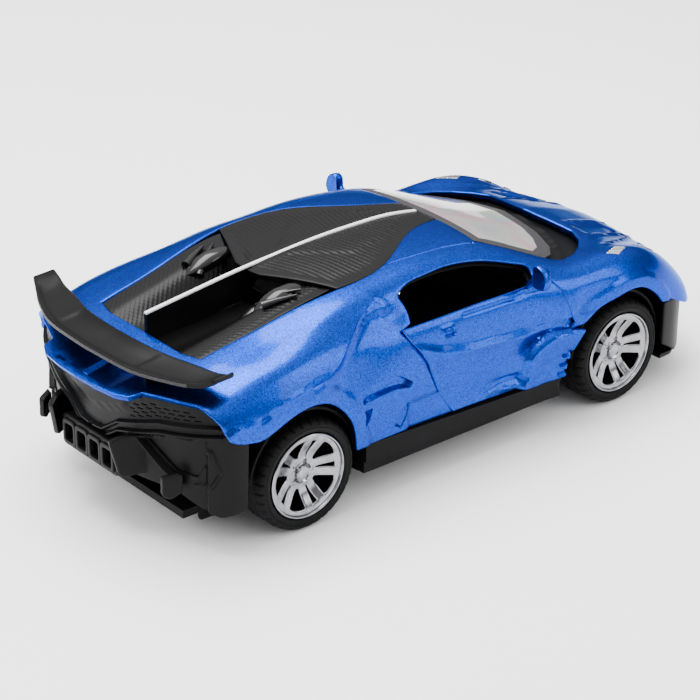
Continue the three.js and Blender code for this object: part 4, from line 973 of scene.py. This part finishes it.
def build_roof():
    inset = 0.3
    side = [[x, s - inset] for x, s in INSERT_SIDE[3:-1]] + [[10.6, 5.5]]
    loop = top_loop([*ROOF_REAR[:2], *curved([[-26.2, 18.8], *side[1:]], 0.5).tolist(), [10.6, 0]])
    skin = panel(loop, body_place, (), roof_relief, points=rib_points(loop), wall=1.2, edge=0.2)
    make("roof_skin", skin, CARBON, "car_body", ["roof_moulding"])


FIN_TOP = [[-58.2, 40.25], [-45.1, 41.9], [-35.8, 43], [-26.3, 43.8], [-16.5, 44.5], [-6.5, 44.7],
           [3.7, 44.35], [10.2, 43.35]]


def build_fin():
    """The thin wall along the centre line, black with a white top edge."""
    crest = curved(FIN_TOP, 1.5)
    foot = np.interp(crest[:, 0], [-58.2, -44, -34, -30, 11], [33.9, 35.2, 36.3, 41.8, 41.8])
    half = 0.42
    for name, low, high, soft, material in (
            ("centre_fin", foot, crest[:, 1] - 0.42, 0.02, CARBON),
            ("centre_fin_line", crest[:, 1] - 0.4, crest[:, 1], 0.12, WHITE_LINE)):
        rings = []
        for x, bottom, top in zip(crest[:, 0], low, high):
            rings.append([[x, -half, bottom], [x, half, bottom], [x, half, top - soft],
                          [x, half - soft, top], [x, soft - half, top], [x, -half, top - soft]])
        make(name, lofted(rings), material, "car_body")


def build_screen():
    """The windscreen: a clear field inside a grey printed edge band."""
    half = [[11.3, 0], [11.3, 10], [10.9, 17.5], [14, 19.4], [20, 21.3], [25.8, 22.8], [29, 21.2],
            [32, 17.8], [34.4, 11.5], [35.6, 0]]
    clear_half = [[13.4, 0], [13.2, 10], [12.8, 16.6], [20.4, 19.6], [24.4, 20.6], [27.6, 18.6],
                  [30.4, 14.5], [32.4, 9], [33.2, 0]]
    clear = rounded(top_loop(clear_half), 0.8)
    mesh = panel(top_loop(half), body_place, creases=[np.vstack([clear, clear[:1]])], wall=0.7, edge=0.15)
    piece = make("windscreen_sheet", mesh, [GREY_PLASTIC, GLASS], "car_body",
                 ["windscreen"])
    paint_by_place(piece, lambda p: clear_here(p, clear_half))


def clear_here(points, half):
    return inside(points[:, :2], np.array(whole_plan(half), float))


def paint_by_place(piece, chooser):
    """Gives the second material to the faces whose middle the chooser picks."""
    data = piece.data
    middles = np.zeros(len(data.polygons) * 3)
    data.polygons.foreach_get("center", middles)
    data.polygons.foreach_set("material_index", chooser(middles.reshape(-1, 3) / MM).astype(np.int32))


def sunk(depth):
    def place(domain):
        return body_place(domain) - normals_of(body_place, domain) * depth
    return place


def build_window_liners():
    """A black band just inside the painted edge of each side window; the door's own edge has none."""
    top = curved(WINDOW_TOP, 0.5)
    middle = np.array([2.0, 37.6])
    outer = (top - middle) * [1.06, 1.24] + middle
    inner = (top - middle) * [0.97, 0.9] + middle
    band = panel(by_height(np.vstack([outer, inner[::-1]])), sunk(1.5), grid=0.9, wall=0.6, edge=0.1)
    make_pair("window_liner", band, CABIN, CAR)


def build_cowl():
    """The black tray sunk in front of the windscreen."""
    half = [[33, 0], [32.5, 9], [30, 16], [26.5, 21.5], [27.5, 25], [31, 25], [36, 22.9], [40, 20.6],
            [43.6, 16.8], [45, 13], [44.6, 6], [43.6, 0]]
    sunk_field = [[36.4, -1], [36, 9], [34, 15.4], [36.6, 15], [39, 8], [39.4, -1]]

    def relief(place):
        top = top_view(place)[2]
        out = ridge(top, [[35, 0], [34.6, 9], [32, 16.4], [29, 21.8]], 0.5, 0.5)
        out += ridge(top, [[40.5, 0], [40, 8], [38, 14], [33.5, 20.5]], 0.5, 0.45)
        return out - 0.6 * ramp(signed_depth(top, sunk_field), 0, 0.5)

    mesh = panel(top_loop(half), sunk(2.0), (), relief, grid=0.7, wall=1.0)
    make("scuttle_tray", mesh, CABIN, "car_body", ["cowl_tray"])


def build_lamps():
    """Headlights: dark lens with four bright reflectors; fender louvres: four silver slats."""
    inner = by_width(rounded([[49.3, 24.4], [52.2, 23], [57.2, 20.7], [63, 18.5], [67.8, 16.5],
                              [67.1, 18.8], [63.2, 21.7], [57, 24.1], [52.2, 25]], 0.8))

    def relief(place):
        x, _, top = top_view(place)
        out = -0.7 * np.ones(len(x))
        for cx, cs in ((53.5, 24.1), (58, 22.3), (62, 20.6), (65.4, 18.7)):
            out += 0.75 * (1 - ramp(np.hypot(top[:, 0] - cx, (top[:, 1] - cs) * 1.3), 0.9, 1.5))
        return out

    lens = panel(inner, body_place, (), relief, grid=0.4, wall=1.6, edge=0.12)
    slats = []
    for i in range(4):
        t = (i + 0.5) / 4
        a = np.array([39.9, 26.9]) + t * (np.array([44.6, 24.7]) - [39.9, 26.9])
        b = np.array([42.3, 28.0]) + t * (np.array([46.7, 25.9]) - [42.3, 28.0])
        wide = np.array([0.42, -0.2])
        slats.append(panel(by_width(rounded([a - wide, b - wide, b + wide, a + wide], 0.15)), body_place,
                           grid=0.5, wall=1.2, edge=0.12))
    louvre = joined(*slats)
    chips = []
    for cx, cs in ((52.2, 24.3), (60.6, 20.9), (64.2, 19.3), (66.2, 18.2)):
        chip = rounded([[cx - 0.9, cs + 0.5], [cx + 0.5, cs - 0.1], [cx + 1.0, cs + 0.3],
                        [cx - 0.3, cs + 0.95]], 0.2)
        chips.append(panel(by_width(chip), sunk(0.15), grid=0.4, wall=0.9, edge=0.15))
    chips = joined(*chips)
    for side, flip in (("right", lambda m: m), ("left", mirror)):
        make(f"headlight_lens_{side}", flip(lens), GLOSS_BLACK, "car_body", [f"headlight_{side}"])
        make(f"headlight_reflectors_{side}", flip(chips), BRIGHT, "car_body")
        make(f"louvre_slats_{side}", flip(louvre), BRIGHT, "car_body",
             [f"fender_louvre_{side}"])


# ---------- engine cover ----------
def deck_place(domain):
    """Deck of the engine cover over [x, y]: a sunk floor with a convex scoop along each side."""
    x, y = domain[:, 0], domain[:, 1]
    side = np.abs(y)
    rim_w = np.interp(side, [0, 16.5], [CENTRE_W, 35.5])
    rim = body_place(np.column_stack([x, rim_w]))[:, 2] - 0.3
    edge_z = body_place(np.column_stack([x, np.full(len(x), 36.5)]))[:, 2] - 0.25
    floor = np.interp(x, [-60, -58.3, -44, -30, -20], [34.0, 34.1, 35.1, 36.1, 37])
    slope = ramp(side, 5.5, 14.5)
    z = floor + (np.minimum(edge_z, rim + 2) - floor) * np.sin(slope * math.pi / 2) ** 1.15
    return np.column_stack([x, y, z])


def deck_relief(place):
    x, side = place[:, 0], np.abs(place[:, 1])
    wall = ramp(side, 5.2, 6.4)
    return ribs(x, side, 0.16) * wall * (1 - ramp(side, 15.4, 15.9)) - 0.05


def build_deck():
    half = [[-58.2, 0], [-58.2, 11.8], [-57.2, 16.1], [-46.8, 16.8], [-36, 17.6], [-30, 17.8],
            [-27.2, 17.6], [-34.2, 4.2], [-34.8, 0]]
    loop = dense(whole_plan(half), 0.5, closed=True)
    points = []
    for side in (-1, 1):
        s = np.arange(0.4, 18, 0.6)
        grid_q, grid_s = np.meshgrid(np.arange(-58, 0, RIB_PITCH / 4), s)
        points.append(np.column_stack([(grid_q - grid_s).ravel(), side * grid_s.ravel()]))
    deck = panel(loop, deck_place, (), deck_relief, points=np.vstack(points), wall=0.8, edge=0.15)
    make("engine_deck", deck, CARBON, "car_body", ["engine_cover"])
    humps = []
    for y in (-6.2, -11.4):
        rings = []
        for x, wide, high in ((-29.5, 1.6, 1.2), (-32, 2.1, 1.9), (-35, 2.3, 2.2), (-37.5, 2.1, 1.9),
                              (-39.4, 1.5, 1.1),
                              (-40.6, 0.5, 0.3)):
            turn = np.linspace(0, math.pi, 15)
            base = deck_place(np.array([[x, y]]))[0][2] - 0.4
            arc = np.column_stack([np.full(15, x), y + wide * np.cos(turn),
                                   base + high * np.sin(turn) ** 0.8])
            rings.append(arc)
        humps.append(lofted(rings))
    cover = joined(*humps)
    make_pair("intake_humps", cover, GLOSS_BLACK, CAR)
    flare = []
    for start, end in (((-38.4, -9.6), (-31.5, -14.2)), ((-39.6, -12.4), (-33.2, -15.2))):
        line = [[*p, deck_place(np.array([p]))[0][2] + 0.5] for p in np.linspace(start, end, 12)]
        flare.append(tube(line, np.linspace(1.0, 0.25, 12), 12))
    flare = joined(*flare)
    make_pair("intake_flares", flare, GLOSS_BLACK, CAR)
    outline = rounded([[-17.4, 34.4], [17.4, 34.4], [17, 41.2], [0, 42.6], [-17, 41.2]], 0.5, 1.0)
    bulkhead = plate(outline[:, ::-1], 27.4, 0.8, plane="zy")
    make("engine_bulkhead", bulkhead, CABIN, "car_body")
    dots = []
    for x, y in ((-31.2, -5.2), (-32.4, -9.8)):
        top = deck_place(np.array([[x, y]]))[0][2] + 1.55
        dots.append(moved(turned(lathe([[0.01, 0], [0.01, 0.4], [0.18, 0.4], [0.28, 0.3], [0.28, 0]], 16),
                                 "x", 90), [x, y, top]))
    dots = joined(*dots)
    make_pair("cover_rivets", dots, BRIGHT, CAR)


# ---------- rear wing ----------
WING = [[0, -64.3, -72.4, 38.6, 38], [8, -64, -72, 38.6, 37.9], [15, -62.4, -70.8, 38, 37.6],
        [21, -60.8, -68.6, 37.9, 37.6], [26.4, -59.6, -66, 38, 37.8], [28.6, -59.2, -64.9, 38.7, 38.5],
        [29.8, -59.4, -64.4, 39.6, 39.3]]
WING_THICK = 1.1


def wing_section(lead, trail, lead_z, trail_z, y):
    """A thin blade section with a round nose and a lip along its trailing edge."""
    turn = np.linspace(-math.pi / 2, math.pi / 2, 7)
    half = WING_THICK / 2
    nose = [[lead - half + half * math.cos(t), lead_z - half + half * math.sin(t)] for t in turn]
    chord = lead - trail
    dip = 0.45 * (1 - ramp(abs(y), 25, 28.5))
    centre = 0.4 * (1 - ramp(abs(y), 12.2, 13.4))
    steps = ((0.14, 0.2, 0.5), (0.3, 0.7, 1), (0.5, 1, 1), (0.68, 1, 1), (0.79, 0.9, 0.9), (0.82, 0.8, 0.8),
             (0.9, 0.05, 0.1))
    upper = [[lead - chord * t, lead_z + (trail_z - lead_z) * t - dip * drop - centre * flat]
             for t, drop, flat in steps]
    tail = [[trail + 0.2, trail_z + 0.05], [trail, trail_z - 0.12], [trail, trail_z - 0.95],
            [trail + 0.2, trail_z - 1.1]]
    lower = [[x, z - WING_THICK + 0.1] for x, z in upper[::-1]]
    return [[x, y, z] for x, z in [*nose, *upper, *tail, *lower]]


def build_wing():
    stations = Spline([row[0] for row in WING], [row[1:] for row in WING])
    ys = np.linspace(0, 29.6, 61)
    half = [wing_section(*stations(y), y) for y in ys]
    tip = np.array(half[-1])
    rounding = [scaled(tip, [k, 1, k]) + [0, out, 0] for k, out in ((0.96, 0.15), (0.8, 0.3))]
    rings = [np.array(r) for r in half] + rounding
    rings = [r * [1, -1, 1] for r in rings[::-1]] + rings[1:]
    blade = lofted(rings)
    strut = rounded([[-68, 33.4], [-64.4, 34.1], [-63.8, 37.3], [-68.8, 37.1]], 0.4, 0.4)
    struts = plate(strut[:, ::-1], 13.6, 1.2, plane="zx")
    struts = moved(struts, [0, 0.6, 0])
    make("wing_blade", joined(blade, struts, mirror(struts)), BLACK, "car_body",
         ["rear_wing"])
    edge = []
    for y in np.linspace(-25, 25, 60):
        trail, trail_z = stations(abs(y))[[1, 3]]
        edge.append([[trail - 0.06, y, trail_z - 0.28], [trail - 0.06, y, trail_z - 0.95],
                     [trail + 0.1, y, trail_z - 0.95], [trail + 0.1, y, trail_z - 0.28]])
    make("wing_edge_band", lofted(edge), GREY_PLASTIC, "car_body")


# ---------- rear and front mouldings ----------
class Wrap:
    """A wall that follows a plan path; its domain is (length along the path, height)."""

    def __init__(self, path, lean=0.0):
        self.path = np.asarray(path, float)
        self.reach = np.r_[0, np.cumsum(np.linalg.norm(np.diff(self.path, axis=0), axis=1))]
        self.curve = Spline(self.reach, self.path)
        self.lean = lean

    def __call__(self, domain):
        plan = self.curve(np.clip(domain[:, 0], 0, self.reach[-1]))
        shift = self.lean * (domain[:, 1] - 20)
        return np.column_stack([plan[:, 0] + shift, plan[:, 1], domain[:, 1]])

    def at(self, y):
        """Length along the path at a given y."""
        lengths = np.linspace(0, self.reach[-1], 2000)
        across = self.curve(lengths)[:, 1]
        order = np.argsort(across)
        return float(np.interp(y, across[order], lengths[order]))


TAIL_HALF = [[-71, 0], [-70.6, 6], [-69.8, 12], [-68, 18], [-66, 23], [-63, 27.6], [-60.5, 30], [-57.4, 31]]
TAIL_WALL = Wrap(TAIL_HALF[::-1] + [[x, -s] for x, s in TAIL_HALF[1:]])


def tail_line(points):
    """A line on the tail given as [distance from the centre line, height], for both sides."""
    both = [points, [[-s, z] for s, z in points]]
    return [np.array([[TAIL_WALL.at(s), z] for s, z in dense(line, 0.7)]) for line in both]


# Raised lines of the tail: path as [distance from the centre line, height], half width, height.
TAIL_RIDGES = [
    ([[0.6, 20.9], [3.4, 21.1], [8, 24.2], [18, 27.2], [28.6, 28.2]], 0.5, 0.9),
    ([[0.6, 18.9], [3, 19.1], [8, 22.4], [18, 25.1], [28.8, 26.3]], 0.5, 0.8),
    ([[12.4, 22.6], [17.5, 18], [21.6, 14.9]], 0.6, 1.3),
    ([[27.3, 22.9], [28.6, 18.5], [27.2, 15.4], [24.4, 15.2]], 0.4, 0.5),
]
TAIL_RECESS = [[14.4, 22.4], [20, 23.6], [25.4, 23.7], [26.6, 20.5], [24.8, 16.8], [20.8, 17.2]]


def tail_relief(place):
    side, z = np.abs(place[:, 1]), place[:, 2]
    q = np.stack([side, z], 1)
    out = np.zeros(len(side))
    for line, half, height in TAIL_RIDGES:
        out = np.maximum(out, height * np.clip(1.4 - 1.4 * distance_to(q, line) / half, 0, 1))
    out -= 2.4 * np.clip(signed_depth(q, TAIL_RECESS) / 0.5, 0, 1)
    below_band = np.interp(side, [0, 3, 8, 18, 29], [18.4, 18.6, 21.9, 24.6, 25.8]) - z
    out -= 0.8 * np.clip(below_band / 0.4, 0, 1) * (side < 26.5)
    number_plate = signed_depth(q, [[-1, 24.6], [6.3, 26.4], [10.2, 27.8], [10.2, 31], [-1, 31]])
    out += 0.35 * np.clip(number_plate / 0.25, 0, 1)
    return out


def tail_creases():
    """Crest and feet of every raised line, so that the mesh follows them."""
    lines = []
    for line, half, _ in TAIL_RIDGES:
        path = dense(line, 0.7)
        leg = np.gradient(path, axis=0)
        leg /= np.linalg.norm(leg, axis=1)[:, None]
        out = np.column_stack([-leg[:, 1], leg[:, 0]])
        for shift in (-half, -half * 0.28, half * 0.28, half):
            lines += tail_line((path + out * shift).tolist())
    ring = dense(TAIL_RECESS, 0.7, closed=True)
    for size in (1, 0.9):
        lines += tail_line(scaled(ring, size).tolist())
    return lines


def mesh_slots():
    """Staggered slots of the tail's mesh band, as holes in the wall's domain."""
    holes = []
    for row in range(4):
        for i in range(-14, 15):
            side = (i + 0.5 * (row % 2)) * 1.95
            s = abs(side)
            if s < 10.8 or s > 26.5:
                continue
            low = np.interp(s, [0, 4, 8, 18, 29], [21.5, 21.9, 24.9, 27.9, 28.9])
            top = 31.3 if s < 15 else np.interp(s, [15, 23, 29], [31.3, 31.3, 29.6])
            z = low + 0.55 + row * 0.82
            if z + 0.6 > top:
                continue
            u = TAIL_WALL.at(side)
            holes.append(dense(oblong(u - 0.72, u + 0.72, z - 0.19, z + 0.19), 0.8, closed=True))
    return holes


def build_tail():
    u = TAIL_WALL.at
    top = [[-31, 24.4], [-30.6, 25.6], [-30, 29.2], [-28.4, 31.1], [-27, 32.3], [-23, 32.2], [-18, 31.9],
           [-14.6, 31.7], [-14, 30.9], [-12, 31.0], [-6, 31.2], [0, 31.3]]
    upper = [[u(s), z] for s, z in top] + [[u(-s), z] for s, z in top[::-1][1:]]
    foot = [[30.9, 10.4], [28.5, 9.2], [25, 10.6], [21, 12.8], [16, 13.4], [9.4, 13.6], [9.2, 20.2],
            [-9.2, 20.2], [-9.4, 13.6], [-16, 13.4], [-21, 12.8], [-25, 10.6], [-28.5, 9.2], [-30.9, 10.4]]
    lower = [[u(s), z] for s, z in foot]
    loop = dense((upper + lower)[::-1], 0.6, closed=True)
    wall = panel(loop, TAIL_WALL, mesh_slots(), tail_relief, grid=0.7, wall=1.2, edge=0.12,
                 creases=tail_creases())
    big = rounded([[-66.4, 22.6], [-72.6, 22.7], [-74.3, 21.7], [-72.8, 14.5], [-67.3, 15], [-65.6, 17]],
                  0.6, 0.4)
    small = rounded([[-67, 17.6], [-69.8, 17.1], [-69.9, 13.4], [-68.8, 12.8], [-67, 14]], 0.4, 0.4)
    fins = []
    for outline, reach in ((big, 13.2), (small, 21.6)):
        verts, tris = plate(outline[:, ::-1], 0.7, 1.4, 0.3, plane="zx")
        verts[:, 1] += reach + 0.5 * (verts[:, 0] + 68)
        fins.append((verts, tris))
    pan_half = [[-59.4, 0], [-59.4, 22], [-64, 20], [-66, 12], [-66.4, 9.3], [-63.6, 9.3], [-63.6, 0]]
    pan = plate(dense(whole_plan(pan_half), 1.0, closed=True), 14, 1.2)
    mesh = joined(wall, *fins, *[mirror(f) for f in fins], pan)
    make("tail_moulding", mesh, BLACK, "car_body", ["rear_bumper"])


def build_exhaust():
    """Four rounded-square outlets in a row, each with a raised lip."""
    outer = rounded(oblong(-8.9, 8.9, 13.3, 19.6), 0.9, 0.5)
    holes = []
    lips = []
    for y in (-6.45, -2.15, 2.15, 6.45):
        square = rounded(oblong(y - 1.65, y + 1.65, 14.2, 18.5), 0.8, 0.3)
        holes.append(square[:, ::-1])
        lips.append(plate(scaled(square, 1.22)[:, ::-1], 72.75, 5.5, 0.18, 0.8,
                          [scaled(square, 0.94)[:, ::-1]], plane="zy"))
    block = plate(outer[:, ::-1], 72.3, 6.5, 0.3, 0.8, holes, plane="zy")
    back = plate(outer[:, ::-1] * [1, 0.98], 67.2, 1.0, 0.2, 2.0, plane="zy")
    make("exhaust_block", joined(block, *lips, back), BLACK, "car_body",
         ["exhaust_outlets"])


NOSE_HALF = [[55.2, 30.2], [59.5, 29.4], [64, 26.6], [68.3, 22], [70.8, 17.6], [73, 11.8], [74.1, 6],
             [74.5, 0]]
NOSE_WALL = Wrap([[x, -s] for x, s in NOSE_HALF] + NOSE_HALF[::-1][1:])


def build_nose():
    """The black lower front: a wall with a plain horizontal grille and a lip under it."""
    top = np.array([[u, float(paint_bottom(NOSE_WALL(np.array([[u, 0.0]]))[0][0])) - 0.35]
                    for u in np.linspace(0.2, NOSE_WALL.reach[-1] - 0.2, 60)])
    length = NOSE_WALL.reach[-1]
    loop = dense([*top.tolist(), [length - 0.2, 10], [length - 6, 6.4], [6, 6.4], [0.2, 10]], 0.6,
                 closed=True)

    def relief(place):
        side, z = np.abs(place[:, 1]), place[:, 2]
        q = np.stack([side, z], 1)
        grille = signed_depth(q, rounded([[-8, 8.4], [8, 8.4], [8.6, 11.6], [-8.6, 11.6]], 1.0))
        intake = signed_depth(q, rounded([[11, 8.4], [22, 8.6], [24.5, 12.2], [12, 11.6]], 0.8))
        bars = 0.55 * (0.5 + 0.5 * np.cos(z * 2 * math.pi / 0.95))
        sunk_in = np.maximum(ramp(grille, 0, 0.4), ramp(intake, 0, 0.4))
        return sunk_in * (bars - 1.0)

    wall = panel(loop, NOSE_WALL, (), relief, grid=0.5, wall=1.1, edge=0.25)
    lip_half = [[56.5, 28.6], [60, 28.4], [64.3, 26], [68.6, 21.6], [71, 17.4], [73.4, 11.6], [74.4, 6],
                [74.7, 0]]
    lip = dense(lip_half + [[x, -s] for x, s in lip_half[::-1][1:]], 1.0, closed=True)
    lip_plate = plate(lip, 6.5, 1.2, 0.3, 2.0)
    make("nose_moulding", joined(wall, lip_plate), BLACK, "car_body", ["front_bumper"])


# ---------- wheels ----------
def tyre_mesh():
    low, high = WHEEL_INNER_Y, WHEEL_OUTER_Y
    profile = [[9.15, low + 0.1], [9.9, low], [10.9, low + 0.15], [11.35, low + 0.7], [TYRE_R, low + 1.5]]
    profile += [[TYRE_R, y] for y in np.linspace(low + 1.9, high - 1.9, 12)]
    profile += [[TYRE_R, high - 1.5], [11.4, high - 0.75], [11.1, high - 0.35], [10.7, high - 0.08],
                [10.45, high], [10.35, high - 0.12], [10.2, high - 0.14], [10.1, high - 0.02],
                [9.5, high - 0.05], [9.15, high - 0.3]]

    def tread(angle, radius, y):
        middle = (low + high) / 2
        across = np.abs(y - middle)
        shoulder = (radius > 11.05) * ramp(across, 2.0, 2.4)
        notch = ramp(np.cos(angle * TREAD_NOTCHES + 0.9 * np.sign(y - middle)), 0.72, 0.95)
        centre = 0.22 * (1 - ramp(np.abs(across - 1.3), 0.12, 0.3)) * (radius > 11.5)
        return -0.32 * notch * shoulder - centre

    return lathe(profile, TYRE_SIDES, tread)


def rim_face(domain):
    """Dished face of the rim over [x, z], looking out along +Y on the left side."""
    r = np.hypot(domain[:, 0], domain[:, 1])
    y = WHEEL_OUTER_Y - 0.45 - 1.7 * ramp(-r, -8.6, -3.2) + 0.6 * ramp(-r, -2.4, -1.4)
    return np.column_stack([domain[:, 0], y, domain[:, 1]])


def wheel_holes():
    """Five wide windows and five narrow slots, as outlines over [z, x]."""
    holes = []
    for i in range(SPOKE_PAIRS):
        base = i * SPOKE_STEP + 90
        wide = [[3.3, -8], [3.3, 8], [5.2, 15], [7.3, 18.5], [7.6, 12], [7.7, 0], [7.6, -12], [7.3, -18.5],
                [5.2, -15]]
        slot = [[3.2, 36 - 6], [3.2, 36 + 6], [5.4, 36 + 5.6], [7.3, 36 + 6.5], [7.3, 36 - 6.5],
                [5.4, 36 - 5.6]]
        for shape, soft in ((wide, 0.9), (slot, 0.4)):
            ring = [[r * math.cos(math.radians(base + a)), r * math.sin(math.radians(base + a))]
                    for r, a in shape]
            holes.append(rounded(ring, soft, 0.3))
    return holes


def rim_meshes():
    turn = np.linspace(0, 2 * math.pi, 90)[:-1]
    loop = np.array([[RIM_FACE_R * math.cos(t), RIM_FACE_R * math.sin(t)] for t in turn])

    def face_place(domain):
        return rim_face(domain[:, ::-1])

    def relief(place):
        x, z = place[:, 0], place[:, 2]
        r = np.hypot(x, z)
        out = 0.35 * ramp(r, 1.35, 1.5) * (1 - ramp(r, 1.75, 1.95)) + 0.18 * (1 - ramp(r, 0.8, 1.1))
        for i in range(SPOKE_PAIRS):
            a = math.radians(i * SPOKE_STEP + 90 + 36)
            out += 0.45 * (1 - ramp(np.hypot(z - 2.5 * math.cos(a), x - 2.5 * math.sin(a)), 0.25, 0.45))
        return out

    face = panel(loop, face_place, wheel_holes(), relief, grid=0.35, wall=1.5, edge=0.3)
    high = WHEEL_OUTER_Y
    low = WHEEL_INNER_Y
    barrel = lathe([[8.0, low + 0.3], [RIM_R, low + 0.2], [RIM_R, high - 0.35], [8.85, high - 0.12],
                    [8.7, high], [8.5, high - 0.02], [8.35, high - 0.25], [8.2, high - 0.7],
                    [8.1, high - 1.6], [7.95, high - 4.5]], 96)
    hub = lathe([[1.55, high - 6.5], [2.2, high - 6.5], [2.7, high - 2.6], [1.55, high - 2.6]], 40)
    return joined(outward(face), barrel, hub)


def build_wheels():
    tyre, rim = tyre_mesh(), rim_meshes()
    disc = lathe([[1.6, 24.2], [7.7, 24.2], [7.7, 24.8], [1.6, 24.8]], 64)
    parts = (("tyre", tyre, RUBBER, "rubber"), ("rim", rim, SILVER, "rim_metal"),
             ("backing", disc, CABIN, "interior_plastic"))
    for axle, x in (("front", FRONT_X), ("rear", REAR_X)):
        for side, spin in (("right", 180), ("left", 0)):
            for part, mesh, look, slot in parts:
                nodes = [] if part == "backing" else [f"{part}_{axle}_{side}"]
                mesh = moved(turned(mesh, "z", spin), [x, 0, AXLE_Z])
                make(f"wheel_{axle}_{side}_{part}", mesh, look, f"{axle}_wheelset", nodes)


# ---------- underbody and cabin ----------
def build_liners():
    """Dark wheel-arch liners, so that the arches close behind the tyres."""
    liners = []
    for x in (REAR_X, FRONT_X):
        turn = np.radians(np.linspace(8, 172, 40))
        rings = []
        for t in turn:
            c, s = math.cos(t), math.sin(t)
            corners = ((LINER_R, LINER_OUTER_Y), (LINER_R, LINER_INNER_Y),
                       (LINER_R + LINER_WALL, LINER_INNER_Y), (LINER_R + LINER_WALL, LINER_OUTER_Y))
            rings.append([[x + r * c, y, AXLE_Z + r * s * 1.05] for r, y in corners])
        liners.append(lofted(rings))
        well = rounded([[x - 19, 4.5], [x + 17, 4.5], [x + 17, 19], [x + 9, 26], [x - 17, 29]], 1.0, 1.5)
        turn = np.linspace(0, 2 * math.pi, 33)[:-1]
        axle_hole = np.column_stack([x + 3 * np.cos(turn), AXLE_Z + 3 * np.sin(turn)])
        liners.append(plate(well, 20.2, 0.6, 0.1, 2.5, [axle_hole], plane="xz"))
    mesh = joined(*liners)
    make_pair("arch_liners", mesh, CABIN, CAR)


def dress_cad():
    """Better materials for the CAD pieces that keep their shape."""
    looks = {"steel": STEEL, "nylon": NYLON, "black_plastic": CHASSIS, "interior_plastic": CABIN}
    slots = {row["node"]: row.get("material_slot") for row in frame["record"]["subparts"]}
    for node, piece in frame["nodes"].items():
        look = looks.get(slots.get(node))
        if look and not piece.hide_render:
            piece.data.materials.clear()
            piece.data.materials.append(look)


# ---------- stage ----------
def build_stage():
    data = bpy.data.meshes.new("floor")
    half = FLOOR_HALF_M
    data.from_pydata([(-half, -half, 0), (half, -half, 0), (half, half, 0), (-half, half, 0)], [],
                     [(0, 1, 2, 3)])
    floor = bpy.data.objects.new("floor", data)
    bpy.context.scene.collection.objects.link(floor)
    material, tree, shader = new_material("pale_floor", Roughness=0.85, Specular_IOR_Level=0.1)
    speck = texture(tree, "ShaderNodeTexNoise", 40.0, Detail=2.0)
    shade(tree, speck.outputs["Fac"], (0.93, 0.93, 0.93), (0.95, 0.95, 0.95), shader.inputs["Base Color"])
    data.materials.append(material)


def area_light(name, place, target, size, power):
    data = bpy.data.lights.new(name, "AREA")
    data.shape = "RECTANGLE"
    data.size, data.size_y = size
    data.energy = power
    light = bpy.data.objects.new(name, data)
    bpy.context.scene.collection.objects.link(light)
    light.location = place
    light.rotation_euler = (Vector(target) - Vector(place)).to_track_quat("-Z", "Y").to_euler()


def build_lights():
    world = bpy.data.worlds.new("studio")
    bpy.context.scene.world = world
    world.use_nodes = True
    tree = world.node_tree
    backdrop = tree.nodes["Background"]
    backdrop.inputs["Strength"].default_value = 2.2
    place = tree.nodes.new("ShaderNodeTexCoord")
    split = tree.nodes.new("ShaderNodeSeparateXYZ")
    tree.links.new(place.outputs["Generated"], split.inputs["Vector"])
    shade(tree, split.outputs["Z"], (0.05, 0.05, 0.055), (1.0, 1.0, 1.0), backdrop.inputs["Color"], 0.1,
          0.9)
    area_light("overhead", (-0.05, 0.1, 0.55), (0, 0, 0.02), (0.5, 0.35), 7.0)
    area_light("right_front", (0.35, -0.5, 0.25), (0, 0, 0.02), (0.3, 0.3), 1.5)
    area_light("rear_left", (-0.5, 0.3, 0.35), (0, 0, 0.02), (0.3, 0.3), 2.5)


def build_camera():
    azimuth, elevation, roll = math.radians(-39.72), math.radians(26.13), math.radians(0.15)
    distance = 0.4959
    target = Vector((0, 0.00875, 0.01077))
    back = Vector((math.sin(azimuth) * math.cos(elevation), -math.cos(azimuth) * math.cos(elevation),
                   math.sin(elevation)))
    data = bpy.data.cameras.new("camera")
    data.sensor_width = 36
    data.lens = 119.35
    data.clip_start = 0.01
    camera = bpy.data.objects.new("camera", data)
    bpy.context.scene.collection.objects.link(camera)
    camera.location = target + back * distance
    camera.rotation_mode = "QUATERNION"
    camera.rotation_quaternion = back.to_track_quat("Z", "Y")
    camera.rotation_quaternion.rotate(Quaternion(back, roll))
    bpy.context.scene.camera = camera


build_camera()
build_lights()
build_stage()
build_shell()
build_doors()
build_mirrors()
build_roof()
build_fin()
build_screen()
build_window_liners()
build_cowl()
build_lamps()
build_deck()
build_wing()
build_tail()
build_exhaust()
build_nose()
build_wheels()
build_liners()
dress_cad()
